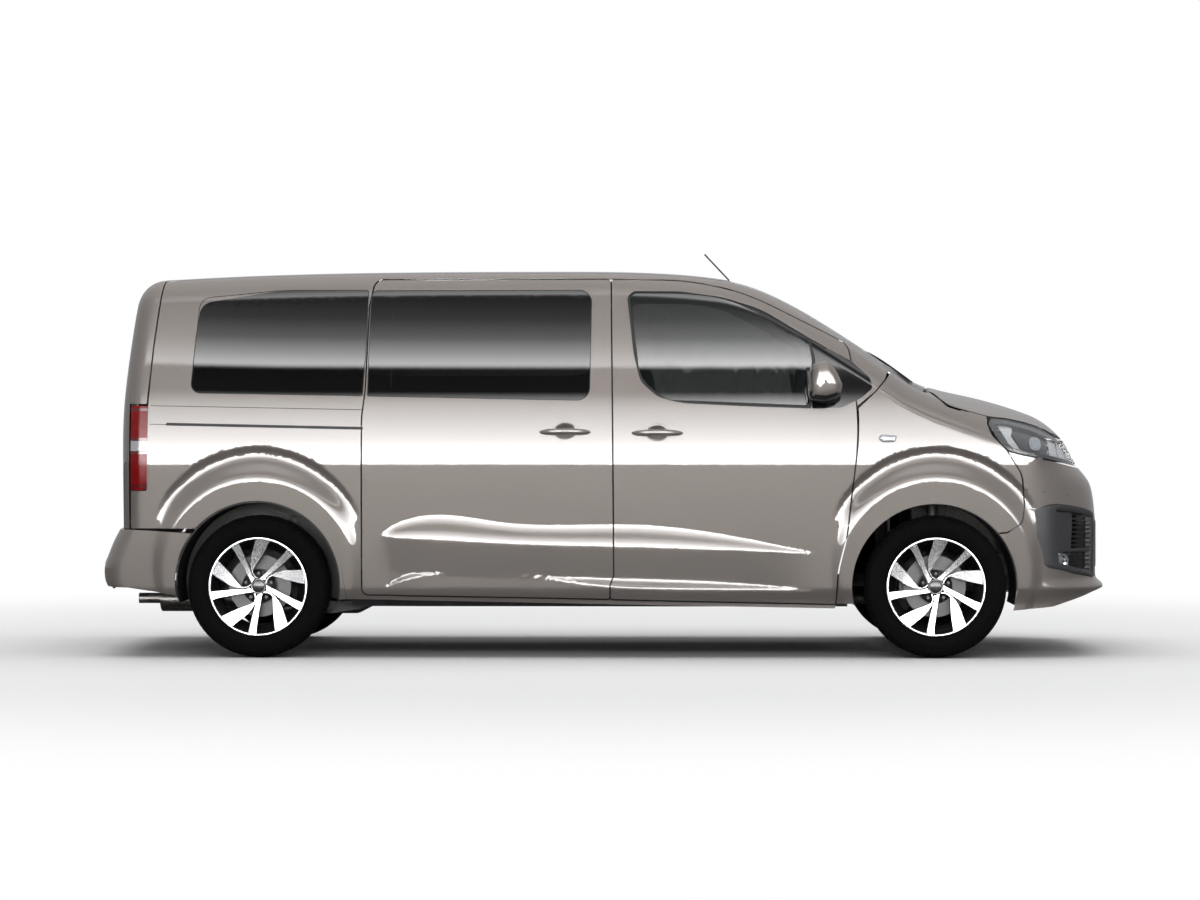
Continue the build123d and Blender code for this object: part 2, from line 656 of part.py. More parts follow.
# The steering axis runs from the lower ball joint up to the strut's top mount.
ball_joint_y, ball_joint_z = 755.0, 205.0
strut_top_y, strut_top_z = 600.0, 905.0
steer_axis = (Vector(0, strut_top_y, strut_top_z) - Vector(0, ball_joint_y, ball_joint_z)).normalized()


strut_radius = 27.0


def steer_point(z):
    """The point of the left steering axis at height z."""
    share = (z - ball_joint_z) / (strut_top_z - ball_joint_z)
    return Vector(front_axle_x, ball_joint_y + share * (strut_top_y - ball_joint_y), z)


hub_face = front_wheel_y - 60
with BuildPart() as knuckle_left:
    with BuildSketch(wheel_plane(front_axle_x, hub_face - 20)):
        Circle(spindle_radius)
    extrude(amount=20 + 60 + 64)
    with BuildSketch(wheel_plane(front_axle_x, hub_face - 52)):
        Circle(60)
    extrude(amount=78)
    with BuildSketch(wheel_plane(front_axle_x, hub_face - 52)):
        Polygon((-46, -126), (46, -126), (40, 122), (-40, 122), align=None)
    extrude(amount=26)
    with BuildSketch(Plane(origin=(front_axle_x, hub_face - 36, 226))):
        Rectangle(56, 90)
    extrude(amount=26)
    with BuildSketch(Plane(origin=steer_point(214.5), x_dir=(1, 0, 0), z_dir=steer_axis)):
        Circle(10)
    extrude(amount=22)
    with BuildSketch(Plane(origin=steer_point(430), x_dir=(1, 0, 0), z_dir=steer_axis)):
        Circle(strut_radius)
    extrude(amount=475)
    with BuildSketch(Plane(origin=steer_point(412), x_dir=(1, 0, 0), z_dir=steer_axis)):
        Rectangle(62, 92)
    extrude(amount=70)
    with BuildSketch(Plane(origin=steer_point(640), x_dir=(1, 0, 0), z_dir=steer_axis)):
        Circle(strut_radius + 9)
    extrude(amount=10)
    with BuildSketch(wheel_plane(front_axle_x, hub_face - 40)):
        with Locations((-128, 0)):
            Rectangle(86, 120)
    extrude(amount=100)
    with BuildSketch(wheel_plane(front_axle_x, front_wheel_y + disc_offset - disc_thickness - 4)):
        Circle(disc_radius + 5)
    extrude(amount=disc_thickness + 8, mode=Mode.SUBTRACT)
    with BuildSketch(wheel_plane(front_axle_x, hub_face - 40)):
        with Locations((-70, 0)):
            Rectangle(120, 60)
    extrude(amount=20)
    with BuildSketch(wheel_plane(front_axle_x, hub_face - 19)):
        Circle(spindle_radius)
    extrude(amount=19 + 60 + 64)
    with BuildSketch(wheel_plane(front_axle_x, hub_face - 52)):
        with Locations((-130, -20)):
            Rectangle(120, 22)
    extrude(amount=22)
keep_pair(knuckle_left, "knuckle")

beam_z = 285.0
with BuildPart() as rear_axle:
    with BuildSketch(Plane.XZ):
        with Locations((rear_axle_x + 210, beam_z)):
            Circle(40)
            Circle(33, mode=Mode.SUBTRACT)
    extrude(amount=560, both=True)
    for side in (1, -1):
        with BuildSketch(Plane.XZ.offset(-side * 560)):
            with BuildLine():
                Polyline(
                    (rear_axle_x - 70, tyre_radius - 60), (rear_axle_x + 60, tyre_radius - 66),
                    (rear_axle_x + 330, 200), (rear_axle_x + 480, 226), (rear_axle_x + 480, 262),
                    (rear_axle_x + 330, 262), (rear_axle_x + 60, tyre_radius + 62),
                    (rear_axle_x - 70, tyre_radius + 50), close=True,
                )
            make_face()
        extrude(amount=-side * 60)
        with BuildSketch(Plane.XY.offset(250)):
            with Locations((rear_axle_x + 455, side * 590)):
                Rectangle(50, 60)
        extrude(amount=330 - seal_gap - 250)
        with BuildSketch(Plane.XZ.offset(-side * 600)):
            with Locations((rear_axle_x, tyre_radius)):
                Circle(62)
        extrude(amount=-side * (rear_wheel_y - 600 - 55))
        with BuildSketch(Plane.XZ.offset(-side * 640)):
            with Locations((rear_axle_x, tyre_radius)):
                Circle(spindle_radius)
        extrude(amount=-side * (rear_wheel_y - 640 + 64))
keep(rear_axle, "rear_axle")

# ---------------------------------------------------------------- wheel arch liners
liner_outer = arch_radius - seal_gap
liner_inner = liner_outer - 4


def build_liners(centre, y_inner, y_outer):
    with BuildPart() as liners:
        for side in (1, -1):
            with BuildSketch(Plane.XZ.offset(-side * y_inner)):
                with Locations(centre):
                    Circle(liner_outer)
                    Circle(liner_inner, mode=Mode.SUBTRACT)
                with Locations((centre[0], centre[1] - 90)):
                    Rectangle(1000, 1000, align=(Align.CENTER, Align.MAX), mode=Mode.SUBTRACT)
            extrude(amount=-side * (y_outer - y_inner))
    return liners


with BuildPart() as strut_hole:
    with BuildSketch(Plane(origin=steer_point(660), x_dir=(1, 0, 0), z_dir=steer_axis)):
        Circle(strut_radius + panel_gap)
    extrude(amount=160)

with BuildPart() as wheel_arch_liners:
    add(build_liners(arch_front_centre, 505, 880).part)
    add(build_liners(arch_rear_centre, 545, 870).part)
    add(strut_hole.part, mode=Mode.SUBTRACT)
    mirror(strut_hole.part, about=Plane.XZ, mode=Mode.SUBTRACT)
keep(wheel_arch_liners, "wheel_arch_liners")

# ---------------------------------------------------------------- floor, firewall and front frame
floor_top = 350.0
floor_thickness = 20.0


def floor_reach(x, low, high, gap):
    """How far out the floor comes at station x before it meets the left wall's inner face, between two heights."""
    step = wall_thickness / Vector(*inward).length
    return min(float(half_width(x, z - step * inward[2])) for z in (low, high)) - step - gap


def floor_layer(low, high):
    """A layer of the floor, out to the fixed walls behind the doors and clear of the doors ahead of them."""
    with BuildPart() as layer:
        with BuildSketch(Plane.XY.offset(low)):
            with BuildLine():
                rear = [(x, floor_reach(x, low, high, 0.8)) for x in (-2150, -1950, -1600, -1300, -1180)]
                middle = [
                    (x, floor_reach(x, low, high, 1.4 * panel_gap))
                    for x in (-1180, -1120, -1060, -1000, -900, -300, 300, 900, 1389.7)
                ]
                Spline(*rear)
                Polyline(rear[-1], *middle)
                Polyline(middle[-1], (middle[-1][0], 0), (rear[0][0], 0), rear[0])
            make_face()
            mirror(about=Plane.XZ)
        extrude(amount=high - low)
    return layer.part


def wheel_houses():
    """The four spaces that the wheels and their liners take out of the floor."""
    with BuildPart() as houses:
        for centre, y_inner in ((arch_front_centre, 500), (arch_rear_centre, 540)):
            for side in (1, -1):
                with BuildSketch(Plane.XZ.offset(-side * y_inner)):
                    with Locations(centre):
                        Circle(arch_radius)
                extrude(amount=-side * 600)
    return houses.part


with BuildPart() as sills:
    add(floor_layer(floor_top - floor_thickness - 84, floor_top - floor_thickness + 6))
    with BuildSketch(Plane.XY):
        with Locations((-1225, 0)):
            Rectangle(2400, 1360, align=(Align.MIN, Align.CENTER))
            Rectangle(3000, 2000, align=(Align.MAX, Align.CENTER))
        with Locations((1175, 0)):
            Rectangle(3000, 2000, align=(Align.MIN, Align.CENTER))
    extrude(amount=floor_top, mode=Mode.SUBTRACT)

with BuildPart() as floor_pan:
    add(floor_layer(floor_top - floor_thickness, floor_top))
    add(sills.part)
    add(wheel_houses(), mode=Mode.SUBTRACT)
keep(floor_pan, "floor_pan")

with BuildPart() as firewall:
    with BuildSketch(Plane.YZ.offset(1390 + seal_gap)):
        with Locations((0, 331)):
            Rectangle(1500, 859, align=(Align.CENTER, Align.MIN))
    extrude(amount=12)
    add(wheel_houses(), mode=Mode.SUBTRACT)
keep(firewall, "firewall")

cowl_skin = screen_skin.moved(Location(screen_inward * (glass_thickness + seal_gap)))
with BuildPart() as cowl:
    extrude(cowl_skin, amount=20, dir=screen_inward)
    with BuildSketch(Plane.XY):
        with BuildLine():
            Polyline((1528, 745), (1403, 745), (1403, -745), (1528, -745))
            ThreePointArc((1528, -745), (1594, 0), (1528, 745))
        make_face()
    extrude(amount=1900, mode=Mode.INTERSECT)
    with BuildSketch(Plane.YZ.offset(1403)):
        with Locations((0, 1150)):
            Rectangle(1300, 190, align=(Align.CENTER, Align.MIN))
    extrude(amount=12)
keep(cowl, "cowl")

rail_height = (380, 480)
with BuildPart() as front_frame:
    with BuildSketch(Plane.YZ.offset(1402.6)):
        with Locations((415, 430), (-415, 430)):
            Rectangle(70, 100)
    extrude(amount=760)
    with BuildSketch(Plane.YZ.offset(2162)):
        with Locations((0, 460)):
            Rectangle(1160, 130)
    extrude(amount=30)
    with BuildSketch(Plane.XY.offset(200)):
        with Locations((front_axle_x, 0)):
            Rectangle(220, 900)
    extrude(amount=99.7)
    with BuildSketch(Plane.XY.offset(290)):
        with Locations((front_axle_x, 415), (front_axle_x, -415)):
            Rectangle(160, 60)
    extrude(amount=100)
    for side in (1, -1):
        with BuildSketch(Plane.XY.offset(196)):
            with BuildLine():
                Polyline(
                    (front_axle_x - 150, side * 440), (front_axle_x + 90, side * 440), (front_axle_x + 24, side * 700),
                    (front_axle_x + 24, side * 775), (front_axle_x - 24, side * 775), (front_axle_x - 24, side * 700),
                    close=True,
                )
            make_face()
        extrude(amount=16)
        with BuildSketch(Plane.XY.offset(910)):
            with Locations((front_axle_x, side * 570)):
                Rectangle(170, 260)
        extrude(amount=18)
        with BuildSketch(Plane.XY.offset(430)):
            with Locations((front_axle_x, side * 445)):
                Rectangle(170, 12)
        extrude(amount=490)
keep(front_frame, "front_frame")

with BuildPart() as engine_block:
    with BuildSketch(Plane.XY.offset(300)):
        with Locations((front_axle_x + 170, 0)):
            Rectangle(430, 660)
    extrude(amount=640)
    fillet(engine_block.edges().filter_by(Axis.Z), 60)
keep(engine_block, "engine_block")

with BuildPart() as fuel_tank:
    with BuildSketch(Plane.XY.offset(215)):
        with Locations((-600, 180)):
            RectangleRounded(900, 760, 80)
    extrude(amount=114.7)
    fillet(fuel_tank.faces().sort_by(Axis.Z)[0].edges(), 30)
keep(fuel_tank, "fuel_tank")

exhaust_y = -330.0
exhaust_z = 258.0
exhaust_start = (front_axle_x + 170 - 215 - seal_gap, -200, 345)
with BuildPart() as exhaust:
    with BuildLine() as pipe_path:
        FilletPolyline(
            exhaust_start, (1470, -200, 345), (1385, -220, exhaust_z), (1100, exhaust_y, exhaust_z),
            (-1150, exhaust_y, exhaust_z), (-1240, exhaust_y, 212), (-1680, exhaust_y, 212), (-1760, exhaust_y, 262),
            (-2330, exhaust_y, 262), radius=30,
        )
    with BuildSketch(Plane(origin=exhaust_start, z_dir=(-1, 0, 0))):
        Circle(26)
    sweep()
    with BuildSketch(Plane.YZ.offset(-2210)):
        with Locations((exhaust_y, 262)):
            Ellipse(130, 66)
    extrude(amount=430)
keep(exhaust, "exhaust")

# ---------------------------------------------------------------- cabin
column_angle = 27.0
wheel_centre = Vector(880, 400, 1085)
column_dir = Vector(-math.cos(math.radians(column_angle)), 0, math.sin(math.radians(column_angle)))
wheel_disc = Plane(origin=wheel_centre, x_dir=(0, 1, 0), z_dir=column_dir)

with BuildPart() as dashboard:
    with BuildSketch(Plane.XZ.offset(-740)):
        with BuildLine():
            FilletPolyline(
                (1389.7, 760), (1389.7, 1170), (1240, 1192), (1080, 1168), (1010, 1100), (1020, 960), (1120, 850),
                (1160, 760), radius=25, close=True,
            )
        make_face()
    extrude(amount=1480)
    with BuildSketch(wheel_disc.offset(-44.3)):
        Circle(48)
    extrude(amount=-160)
keep(dashboard, "dashboard")

with BuildPart() as steering_wheel:
    with BuildSketch(Plane(origin=wheel_centre + Vector(0, 178, 0), x_dir=(0, 1, 0), z_dir=column_dir.cross(Vector(0, 1, 0)))):
        Circle(14)
    revolve(axis=Axis(wheel_centre, column_dir))
    with BuildSketch(wheel_disc.offset(-34)):
        RectangleRounded(150, 120, 30)
    extrude(amount=40)
    with BuildSketch(wheel_disc.offset(-20)):
        Rectangle(350, 40)
        with Locations((0, -90)):
            Rectangle(40, 175)
    extrude(amount=14)
keep(steering_wheel, "steering_wheel")


def build_seats(front_x, places, width, lift=0.0):
    """Seats facing forward on floor plinths: a cushion, a leaning back and a headrest each."""
    with BuildPart() as seats:
        for y in places:
            with BuildSketch(Plane.XZ.offset(-y - width / 2)) as side:
                with BuildLine():
                    FilletPolyline(
                        (front_x, 610 + lift), (front_x - 20, 700 + lift), (front_x - 440, 660 + lift),
                        (front_x - 560, 1240 + lift), (front_x - 670, 1225 + lift), (front_x - 560, 560 + lift),
                        (front_x - 60, 560 + lift), radius=28, close=True,
                    )
                make_face()
            extrude(amount=width)
            with BuildSketch(Plane.XZ.offset(-y - 130)):
                with BuildLine():
                    FilletPolyline(
                        (front_x - 580, 1262 + lift), (front_x - 612, 1440 + lift), (front_x - 690, 1430 + lift),
                        (front_x - 668, 1250 + lift), radius=28, close=True,
                    )
                make_face()
            extrude(amount=260)
            with BuildSketch(Plane(origin=(front_x - 614, y, 1210 + lift), z_dir=(-0.18, 0, 1))):
                with Locations((0, 60), (0, -60)):
                    Circle(7)
            extrude(amount=90)
            with BuildSketch(Plane.XY.offset(floor_top + seal_gap)):
                with Locations((front_x - 310, y)):
                    Rectangle(400, width - 120)
            extrude(amount=570 + lift - floor_top - seal_gap)
    return seats


keep(build_seats(800, (400, -400), 520), "front_seats")
keep(build_seats(-120, (470, 0, -470), 450), "middle_seats")
keep(build_seats(-1010, (340, 0, -340), 325, 30), "rear_seats")

# ---------------------------------------------------------------- mirrors, handles, wipers, aerial
with BuildPart() as mirror_left:
    with BuildSketch(Plane.XZ.offset(-960)):
        with BuildLine():
            FilletPolyline(
                (1000, 1425), (1070, 1442), (1112, 1385), (1142, 1318), (1126, 1262), (1060, 1240), (985, 1246), (975, 1320),
                radius=26, close=True,
            )
        make_face()
    extrude(amount=-142)
    fillet(mirror_left.faces().sort_by(Axis.Y)[-1].edges(), 22)
    with BuildSketch(Plane.XZ.offset(-870)):
        with BuildLine():
            FilletPolyline((1010, 1262), (1080, 1300), (1128, 1285), (1120, 1235), (1020, 1228), radius=12, close=True)
        make_face()
    extrude(amount=-95)
    add(wall(front_door_line, door_thickness), mode=Mode.SUBTRACT)
keep_pair(mirror_left, "mirror")

with BuildPart() as door_glass_left:
    add(wall(rounded([
        (118.3, 1764.7, 35), (575, 1762.7, 700), (985.7, 1529.8, 20), (1002.7, 1440, 60), (987.7, 1220.3, 18),
        (300, 1247.3, 120), (172.3, 1345, 160),
    ]), glass_thickness))
keep_pair(door_glass_left, "door_glass")


def build_handle(x, z):
    with BuildPart() as handle:
        with BuildSketch(Plane.XZ.offset(-900)):
            with Locations((x, z)):
                SlotOverall(245, 30)
        extrude(amount=-84)
        add(wall(sliding_door_line, door_thickness), mode=Mode.SUBTRACT)
        add(wall(front_door_line, door_thickness), mode=Mode.SUBTRACT)
    return handle


keep_both(build_handle(-197, 1092), "sliding_door_handles")
keep_pair(build_handle(254, 1087), "front_door_handle")

# ---------------------------------------------------------------- wipers, aerial, door pillars
wiper_skin = top_skin(1150, 1660, 780, inset=-9, step_x=60, step_y=80)


def wiper(pivot, tip, width):
    """A bar along the glass from pivot to tip, both given in plan."""
    start, end = Vector(*pivot), Vector(*tip)
    side = (end - start).normalized().cross(Vector(0, 0, 1)) * width / 2
    with BuildPart() as bar:
        extrude(wiper_skin, amount=9, dir=(-0.5, 0, -1))
        with BuildSketch(Plane.XY):
            with BuildLine():
                Polyline(start + side, end + side, end - side, start - side, close=True)
            make_face()
        extrude(amount=1900, mode=Mode.INTERSECT)
    return bar.part


with BuildPart() as front_wipers:
    for pivot, root, tip in (((1530, 60), (1400, 250), (1265, 620)), ((1500, -560), (1420, -330), (1330, 20))):
        add(wiper(pivot, tip, 18))
keep(front_wipers, "front_wipers")

with BuildPart() as aerial:
    with BuildSketch(Plane(origin=(620, 0, 1857), z_dir=(-125, 0, 133))):
        Circle(4)
    extrude(amount=182)
keep(aerial, "aerial")

rear_wiper_skin = ring_skin(-1, -2080, 640, 1100, 1600, inset=-14)
rear_wiper_line = rounded([(-20, 1205, 25), (-20, 1262, 25), (400, 1342, 8), (404, 1322, 8)])

with BuildPart() as rear_wiper:
    extrude(rear_wiper_skin, amount=13.4, dir=(1, -0.1, 0))
    add(across(rear_wiper_line, start=-2600, depth=600), mode=Mode.INTERSECT)
keep(rear_wiper, "rear_wiper")

with BuildPart() as door_pillars_left:
    with BuildSketch(Plane.YZ.offset(-25)):
        Polygon((720, 350.3), (800, 350.3), (800, 1100), (742, 1700), (700, 1700), (740, 1100), align=None)
    extrude(amount=110)
    with BuildSketch(Plane.XY.offset(790)):
        with Locations((1290, 800)):
            Rectangle(60, 110)
    extrude(amount=370)
keep_both(door_pillars_left, "door_pillars")
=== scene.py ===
"""Looks of the passenger van: panels, glass, lamps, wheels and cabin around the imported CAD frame.
Metres, +X forward, +Y left, +Z up. Body formulas work in millimetres."""
import json
import math

import bmesh
import bpy
import numpy as np
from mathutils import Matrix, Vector
from mathutils.geometry import delaunay_2d_cdt


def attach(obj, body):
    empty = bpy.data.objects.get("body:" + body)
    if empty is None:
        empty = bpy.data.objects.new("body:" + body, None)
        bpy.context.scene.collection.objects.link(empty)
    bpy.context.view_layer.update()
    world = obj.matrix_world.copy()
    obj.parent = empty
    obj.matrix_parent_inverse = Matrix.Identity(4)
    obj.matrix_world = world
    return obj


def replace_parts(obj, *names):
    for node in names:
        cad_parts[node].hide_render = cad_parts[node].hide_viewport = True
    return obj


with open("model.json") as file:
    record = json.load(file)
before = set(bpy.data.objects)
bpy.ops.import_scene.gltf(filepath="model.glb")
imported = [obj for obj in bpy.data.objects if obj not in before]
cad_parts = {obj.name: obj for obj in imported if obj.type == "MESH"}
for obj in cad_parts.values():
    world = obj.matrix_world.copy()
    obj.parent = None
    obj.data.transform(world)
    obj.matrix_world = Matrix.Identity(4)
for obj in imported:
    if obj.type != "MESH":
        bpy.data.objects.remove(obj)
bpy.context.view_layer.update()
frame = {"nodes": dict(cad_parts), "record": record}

nodes = frame["nodes"]
body_of_node = {name: body for body, names in frame["record"]["behaviour"]["bodies"].items() for name in names}
scene = bpy.context.scene

sides = (("left", 1), ("right", -1))

# ---------------------------------------------------------------- the body's shape, as in the part's source, in mm
tyre_radius = 344.0
front_axle_x, rear_axle_x = 1598.5, -1676.5
front_wheel_y, rear_wheel_y = 813.5, 800.0
tail_tip_x = -2479.5
arch_radius, arch_rise = 400.0, 14.0
roof_edge = 655.0


def smooth_line(*points):
    """A natural cubic spline through points, straight beyond its ends."""
    xs, ys = np.array(points, float).T
    step = np.diff(xs)
    rise = np.diff(ys) / step
    count = len(xs)
    matrix, right = np.eye(count), np.zeros(count)
    for i in range(1, count - 1):
        matrix[i, i - 1 : i + 2] = step[i - 1], 2 * (step[i - 1] + step[i]), step[i]
        right[i] = 6 * (rise[i] - rise[i - 1])
    bend = np.linalg.solve(matrix, right)

    def at(x):
        inside = np.clip(x, xs[0], xs[-1])
        i = np.clip(np.searchsorted(xs, inside) - 1, 0, count - 2)
        t, h = inside - xs[i], step[i]
        slope = rise[i] - h * (2 * bend[i] + bend[i + 1]) / 6
        value = ys[i] + t * slope + t**2 * bend[i] / 2 + t**3 * (bend[i + 1] - bend[i]) / (6 * h)
        first = rise[0] - step[0] * bend[1] / 6
        last = rise[-1] + step[-1] * bend[-2] / 6
        return value + np.minimum(x - xs[0], 0) * first + np.maximum(x - xs[-1], 0) * last

    return at


def ramp(value, low, high):
    """0 below low, 1 above high and a smooth step between."""
    t = np.clip((value - low) / (high - low), 0, 1)
    return t * t * (3 - 2 * t)


centre_line = smooth_line(
    (-2300, 1846), (-1900, 1868), (-1200, 1889), (-300, 1895), (200, 1889), (500, 1867), (700, 1829),
    (900, 1746), (1195, 1571), (1400, 1434), (1530, 1350), (1640, 1309), (1820, 1268), (2027, 1211),
    (2200, 1147), (2330, 1092),
)
tail_line = smooth_line(
    (560, -2385), (900, -2388), (1200, -2384), (1400, -2364), (1600, -2336), (1760, -2306), (1850, -2282)
)
bumper_tail_line = smooth_line(
    (260, -2380), (302, -2430), (350, -2468), (400, tail_tip_x), (450, -2476), (500, -2458), (550, -2438),
    (620, -2402)
)
nose_curve = smooth_line(
    (640, 2442), (740, 2434), (800, 2425), (845, 2410), (885, 2382), (925, 2349), (965, 2323), (1005, 2305),
    (1050, 2286), (1100, 2262),
)
wedge_top = smooth_line((-1115, 590), (-980, 665), (-500, 664), (171, 652), (560, 607), (1024, 508))
wedge_foot = smooth_line((-1115, 585), (-980, 574), (171, 526), (1024, 503))
sill_top = smooth_line((-1060, 345), (-980, 397), (-838, 415), (-22, 397), (560, 379), (985, 335))
sill_foot = smooth_line((-1060, 340), (-980, 368), (-22, 344), (985, 325))


def nose_line(z):
    """How far forward the nose reaches in the middle at height z."""
    chin = 37.5 * np.exp(-(((z - 336) / 26) ** 2))
    return np.where(z < 640, 2442, nose_curve(np.maximum(z, 640))) + chin


def flare(x, z, axle_x):
    """How far a wheel arch's flared band stands out, with the valley above it."""
    band_in = np.hypot(x - axle_x, z - tyre_radius - arch_rise) - arch_radius
    band_out = 551 - np.hypot(x - axle_x, z - 475)
    share = np.where(band_out > 0, band_in / (band_in + np.maximum(band_out, 1e-6)), 1.0)
    share = np.clip(share, 0, 1)
    above = ramp(z, 640, 860)
    plateau = 16 * (1 - ramp(share, 0.36, 0.80))
    valley = -17 * above * ramp(share, 0.40, 0.84) * (1 - ramp(share, 0.86, 1.0))
    return plateau + valley


def ledges(x, z):
    """How far the lower doors' two pressed wedges stand out."""
    tall = np.clip(wedge_top(x) - wedge_foot(x), 1, None)
    upper = 0.16 * tall * ramp(wedge_top(x) - z, 0, tall)
    low_tall = np.clip(sill_top(x) - sill_foot(x), 1, None)
    lower = 0.25 * low_tall * ramp(sill_top(x) - z, 0, low_tall)
    along = ramp(x, -1115, -1000) * (1 - ramp(x, 950, 1030))
    back_in = 0.10 * np.clip(wedge_foot(x) - z, 0, 160)
    return along * (upper + lower - back_in * ramp(tall, 0, 60))


def half_width(x, z):
    """Half the body's width at x and z."""
    above = np.maximum(z - 950, 0)
    below = np.maximum(950 - z, 0)
    width = 945 - 39 * (above / 350) ** 1.53 - 12 * (below / 400) ** 2 - 22 * ramp(345 - z, 0, 90)
    width = width - 60 * np.maximum((x - 1100) / 1300, 0) ** 2 - 45 * np.maximum((-1500 - x) / 950, 0) ** 2
    return width + ledges(x, z) + flare(x, z, front_axle_x) + flare(x, z, rear_axle_x)


def top_height(x, y):
    """The height of the bonnet, windscreen and roof at x and y."""
    across = (y / 1000) ** 2
    crown = 62 * across + 60 * across * ramp(x, 1450, 1900)
    return centre_line(x + 67 * across * ramp(x, 500, 900)) - crown


def fullness(x, y, z, inset=0.0, tail=tail_line):
    """1 on the body's outer surface, less inside it."""
    forward = ramp(x, 1750, 2300)
    faces = (
        ((half_width(x, z) - np.abs(y) - inset), 110 + 210 * forward),
        ((top_height(x, y) - z - inset), 110 - 20 * forward),
        ((nose_line(z) - 120 * (y / 1000) ** 2 - x - inset), 300 - 190 * ramp(z, 800, 1060)),
        ((x - tail(z) - 70 * (y / 1000) ** 2 - inset), 90),
    )
    return sum(np.maximum(1 - depth / edge, 0) ** 2.2 for depth, edge in faces) ** (1 / 2.2)


def slope(p, inset=0.0, tail=tail_line, reach=0.4):
    """How fullness changes along x, y and z at points p."""
    result = np.zeros_like(p)
    for k in range(3):
        ahead, back = p.copy(), p.copy()
        ahead[:, k] += reach
        back[:, k] -= reach
        result[:, k] = (fullness(*ahead.T, inset, tail) - fullness(*back.T, inset, tail)) / (2 * reach)
    return result


def outward(p, inset=0.0, tail=tail_line, reach=0.4):
    """The surface's outward directions at points p."""
    g = slope(p, inset, tail, reach)
    return g / np.maximum(np.linalg.norm(g, axis=1, keepdims=True), 1e-12)


def cast(start, reach, inset=0.0, tail=tail_line):
    """Points where rays from inside the body leave its surface."""
    low, high = np.zeros(start[0].shape), np.ones(start[0].shape)
    for _ in range(34):
        middle = (low + high) / 2
        point = [s + middle * r for s, r in zip(start, reach)]
        outside = fullness(*point, inset=inset, tail=tail) > 1
        high, low = np.where(outside, middle, high), np.where(outside, low, middle)
    return np.stack([s + low * r for s, r in zip(start, reach)], -1)


def side_points(x, z, side=-1, inset=0.0):
    """Points of the side's surface at x and z; side is 1 for the left and -1 for the right."""
    x, z = np.asarray(x, float), np.asarray(z, float)
    p = cast((x, 0 * x + 300, z), (0 * x, 0 * x + 1300, 0 * x), inset)
    p[..., 1] *= side
    return p


def front_points(y, z, inset=0.0):
    """Points of the nose at y and z."""
    y, z = np.asarray(y, float), np.asarray(z, float)
    return cast((0 * y + 1500, y, z), (0 * y + 1300, 0 * y, 0 * y), inset)


def back_points(y, z, inset=0.0, tail=tail_line):
    """Points of the tail at y and z."""
    y, z = np.asarray(y, float), np.asarray(z, float)
    return cast((0 * y - 1500, y, z), (0 * y - 1300, 0 * y, 0 * y), inset, tail)


def top_points(x, y, inset=0.0):
    """Points of the roof at x and y."""
    x, y = np.asarray(x, float), np.asarray(y, float)
    return cast((x, y, 0 * x + 900), (0 * x, 0 * x, 0 * x + 1300), inset)


# ---------------------------------------------------------------- node materials
def material(name, color, rough=0.5, metallic=0.0, **more):
    """A Principled material. more sets further sockets by name, underscores standing for spaces."""
    mat = bpy.data.materials.new(name)
    mat.use_nodes = True
    shader = mat.node_tree.nodes["Principled BSDF"]
    settings = {"Base Color": (*color, 1), "Roughness": rough, "Metallic": metallic}
    for key, value in (settings | more).items():
        shader.inputs[key.replace("_", " ")].default_value = value
    return mat


def link(owner, *path):
    """Adds links given as (from node, output, to node, input) to a material or world."""
    for a, out, b, into in path:
        owner.node_tree.links.new(a.outputs[out], b.inputs[into])


def add_node(owner, kind, **settings):
    """A node with its sockets and properties set by name, underscores standing for spaces in sockets."""
    node = owner.node_tree.nodes.new(kind)
    for key, value in settings.items():
        socket = key.replace("_", " ")
        if socket in node.inputs.keys():
            node.inputs[socket].default_value = value
        else:
            setattr(node, key, value)
    return node


def ramp_node(owner, *stops):
    """A colour ramp through (position, colour or grey) stops."""
    node = add_node(owner, "ShaderNodeValToRGB")
    while len(node.color_ramp.elements) < len(stops):
        node.color_ramp.elements.new(0.5)
    for element, (at, value) in zip(node.color_ramp.elements, stops):
        element.position = at
        element.color = (*value, 1) if hasattr(value, "__len__") else (value, value, value, 1)
    return node


def vary(mat, source, output, low, high, bump=0.0, rough=None, ends=(0.3, 0.7), depth=0.001):
    """Lets a texture's output drive a material's colour from low to high, its roughness and its relief."""
    shader = mat.node_tree.nodes["Principled BSDF"]
    colours = ramp_node(mat, (ends[0], low), (ends[1], high))
    link(mat, (source, output, colours, "Fac"), (colours, "Color", shader, "Base Color"))
    if rough:
        levels = ramp_node(mat, (ends[0], rough[0]), (ends[1], rough[1]))
        link(mat, (source, output, levels, "Fac"), (levels, "Color", shader, "Roughness"))
    if bump:
        relief = add_node(mat, "ShaderNodeBump", Strength=bump, Distance=depth)
        link(mat, (source, output, relief, "Height"), (relief, "Normal", shader, "Normal"))
    return mat


def texture(mat, kind, **settings):
    """A texture node over object coordinates in metres."""
    place = add_node(mat, "ShaderNodeTexCoord")
    node = add_node(mat, kind, **settings)
    link(mat, (place, "Object", node, "Vector"))
    return node


def grained(name, color, rough, metallic, scale, low, high, bump=0.0, spread=None, detail=4.0, depth=0.001, **more):
    """A material under fine noise."""
    mat = material(name, color, rough, metallic, **more)
    noise = texture(mat, "ShaderNodeTexNoise", Scale=scale, Detail=detail)
    return vary(mat, noise, "Fac", low, high, bump, spread, depth=depth)


def paint_material():
    """Champagne metallic lacquer: flakes under a clear coat, with a faint orange peel."""
    mat = material(
        "body_paint", (0.32, 0.285, 0.262), 0.48, 0.2, Coat_Weight=1.0, Coat_Roughness=0.02, Coat_IOR=1.68,
        Specular_IOR_Level=0.25,
    )
    flakes = texture(mat, "ShaderNodeTexVoronoi", Scale=1400.0)
    return vary(mat, flakes, "Color", (0.29, 0.257, 0.236), (0.35, 0.313, 0.288), 0.10, None, (0.0, 1.0), 0.0002)


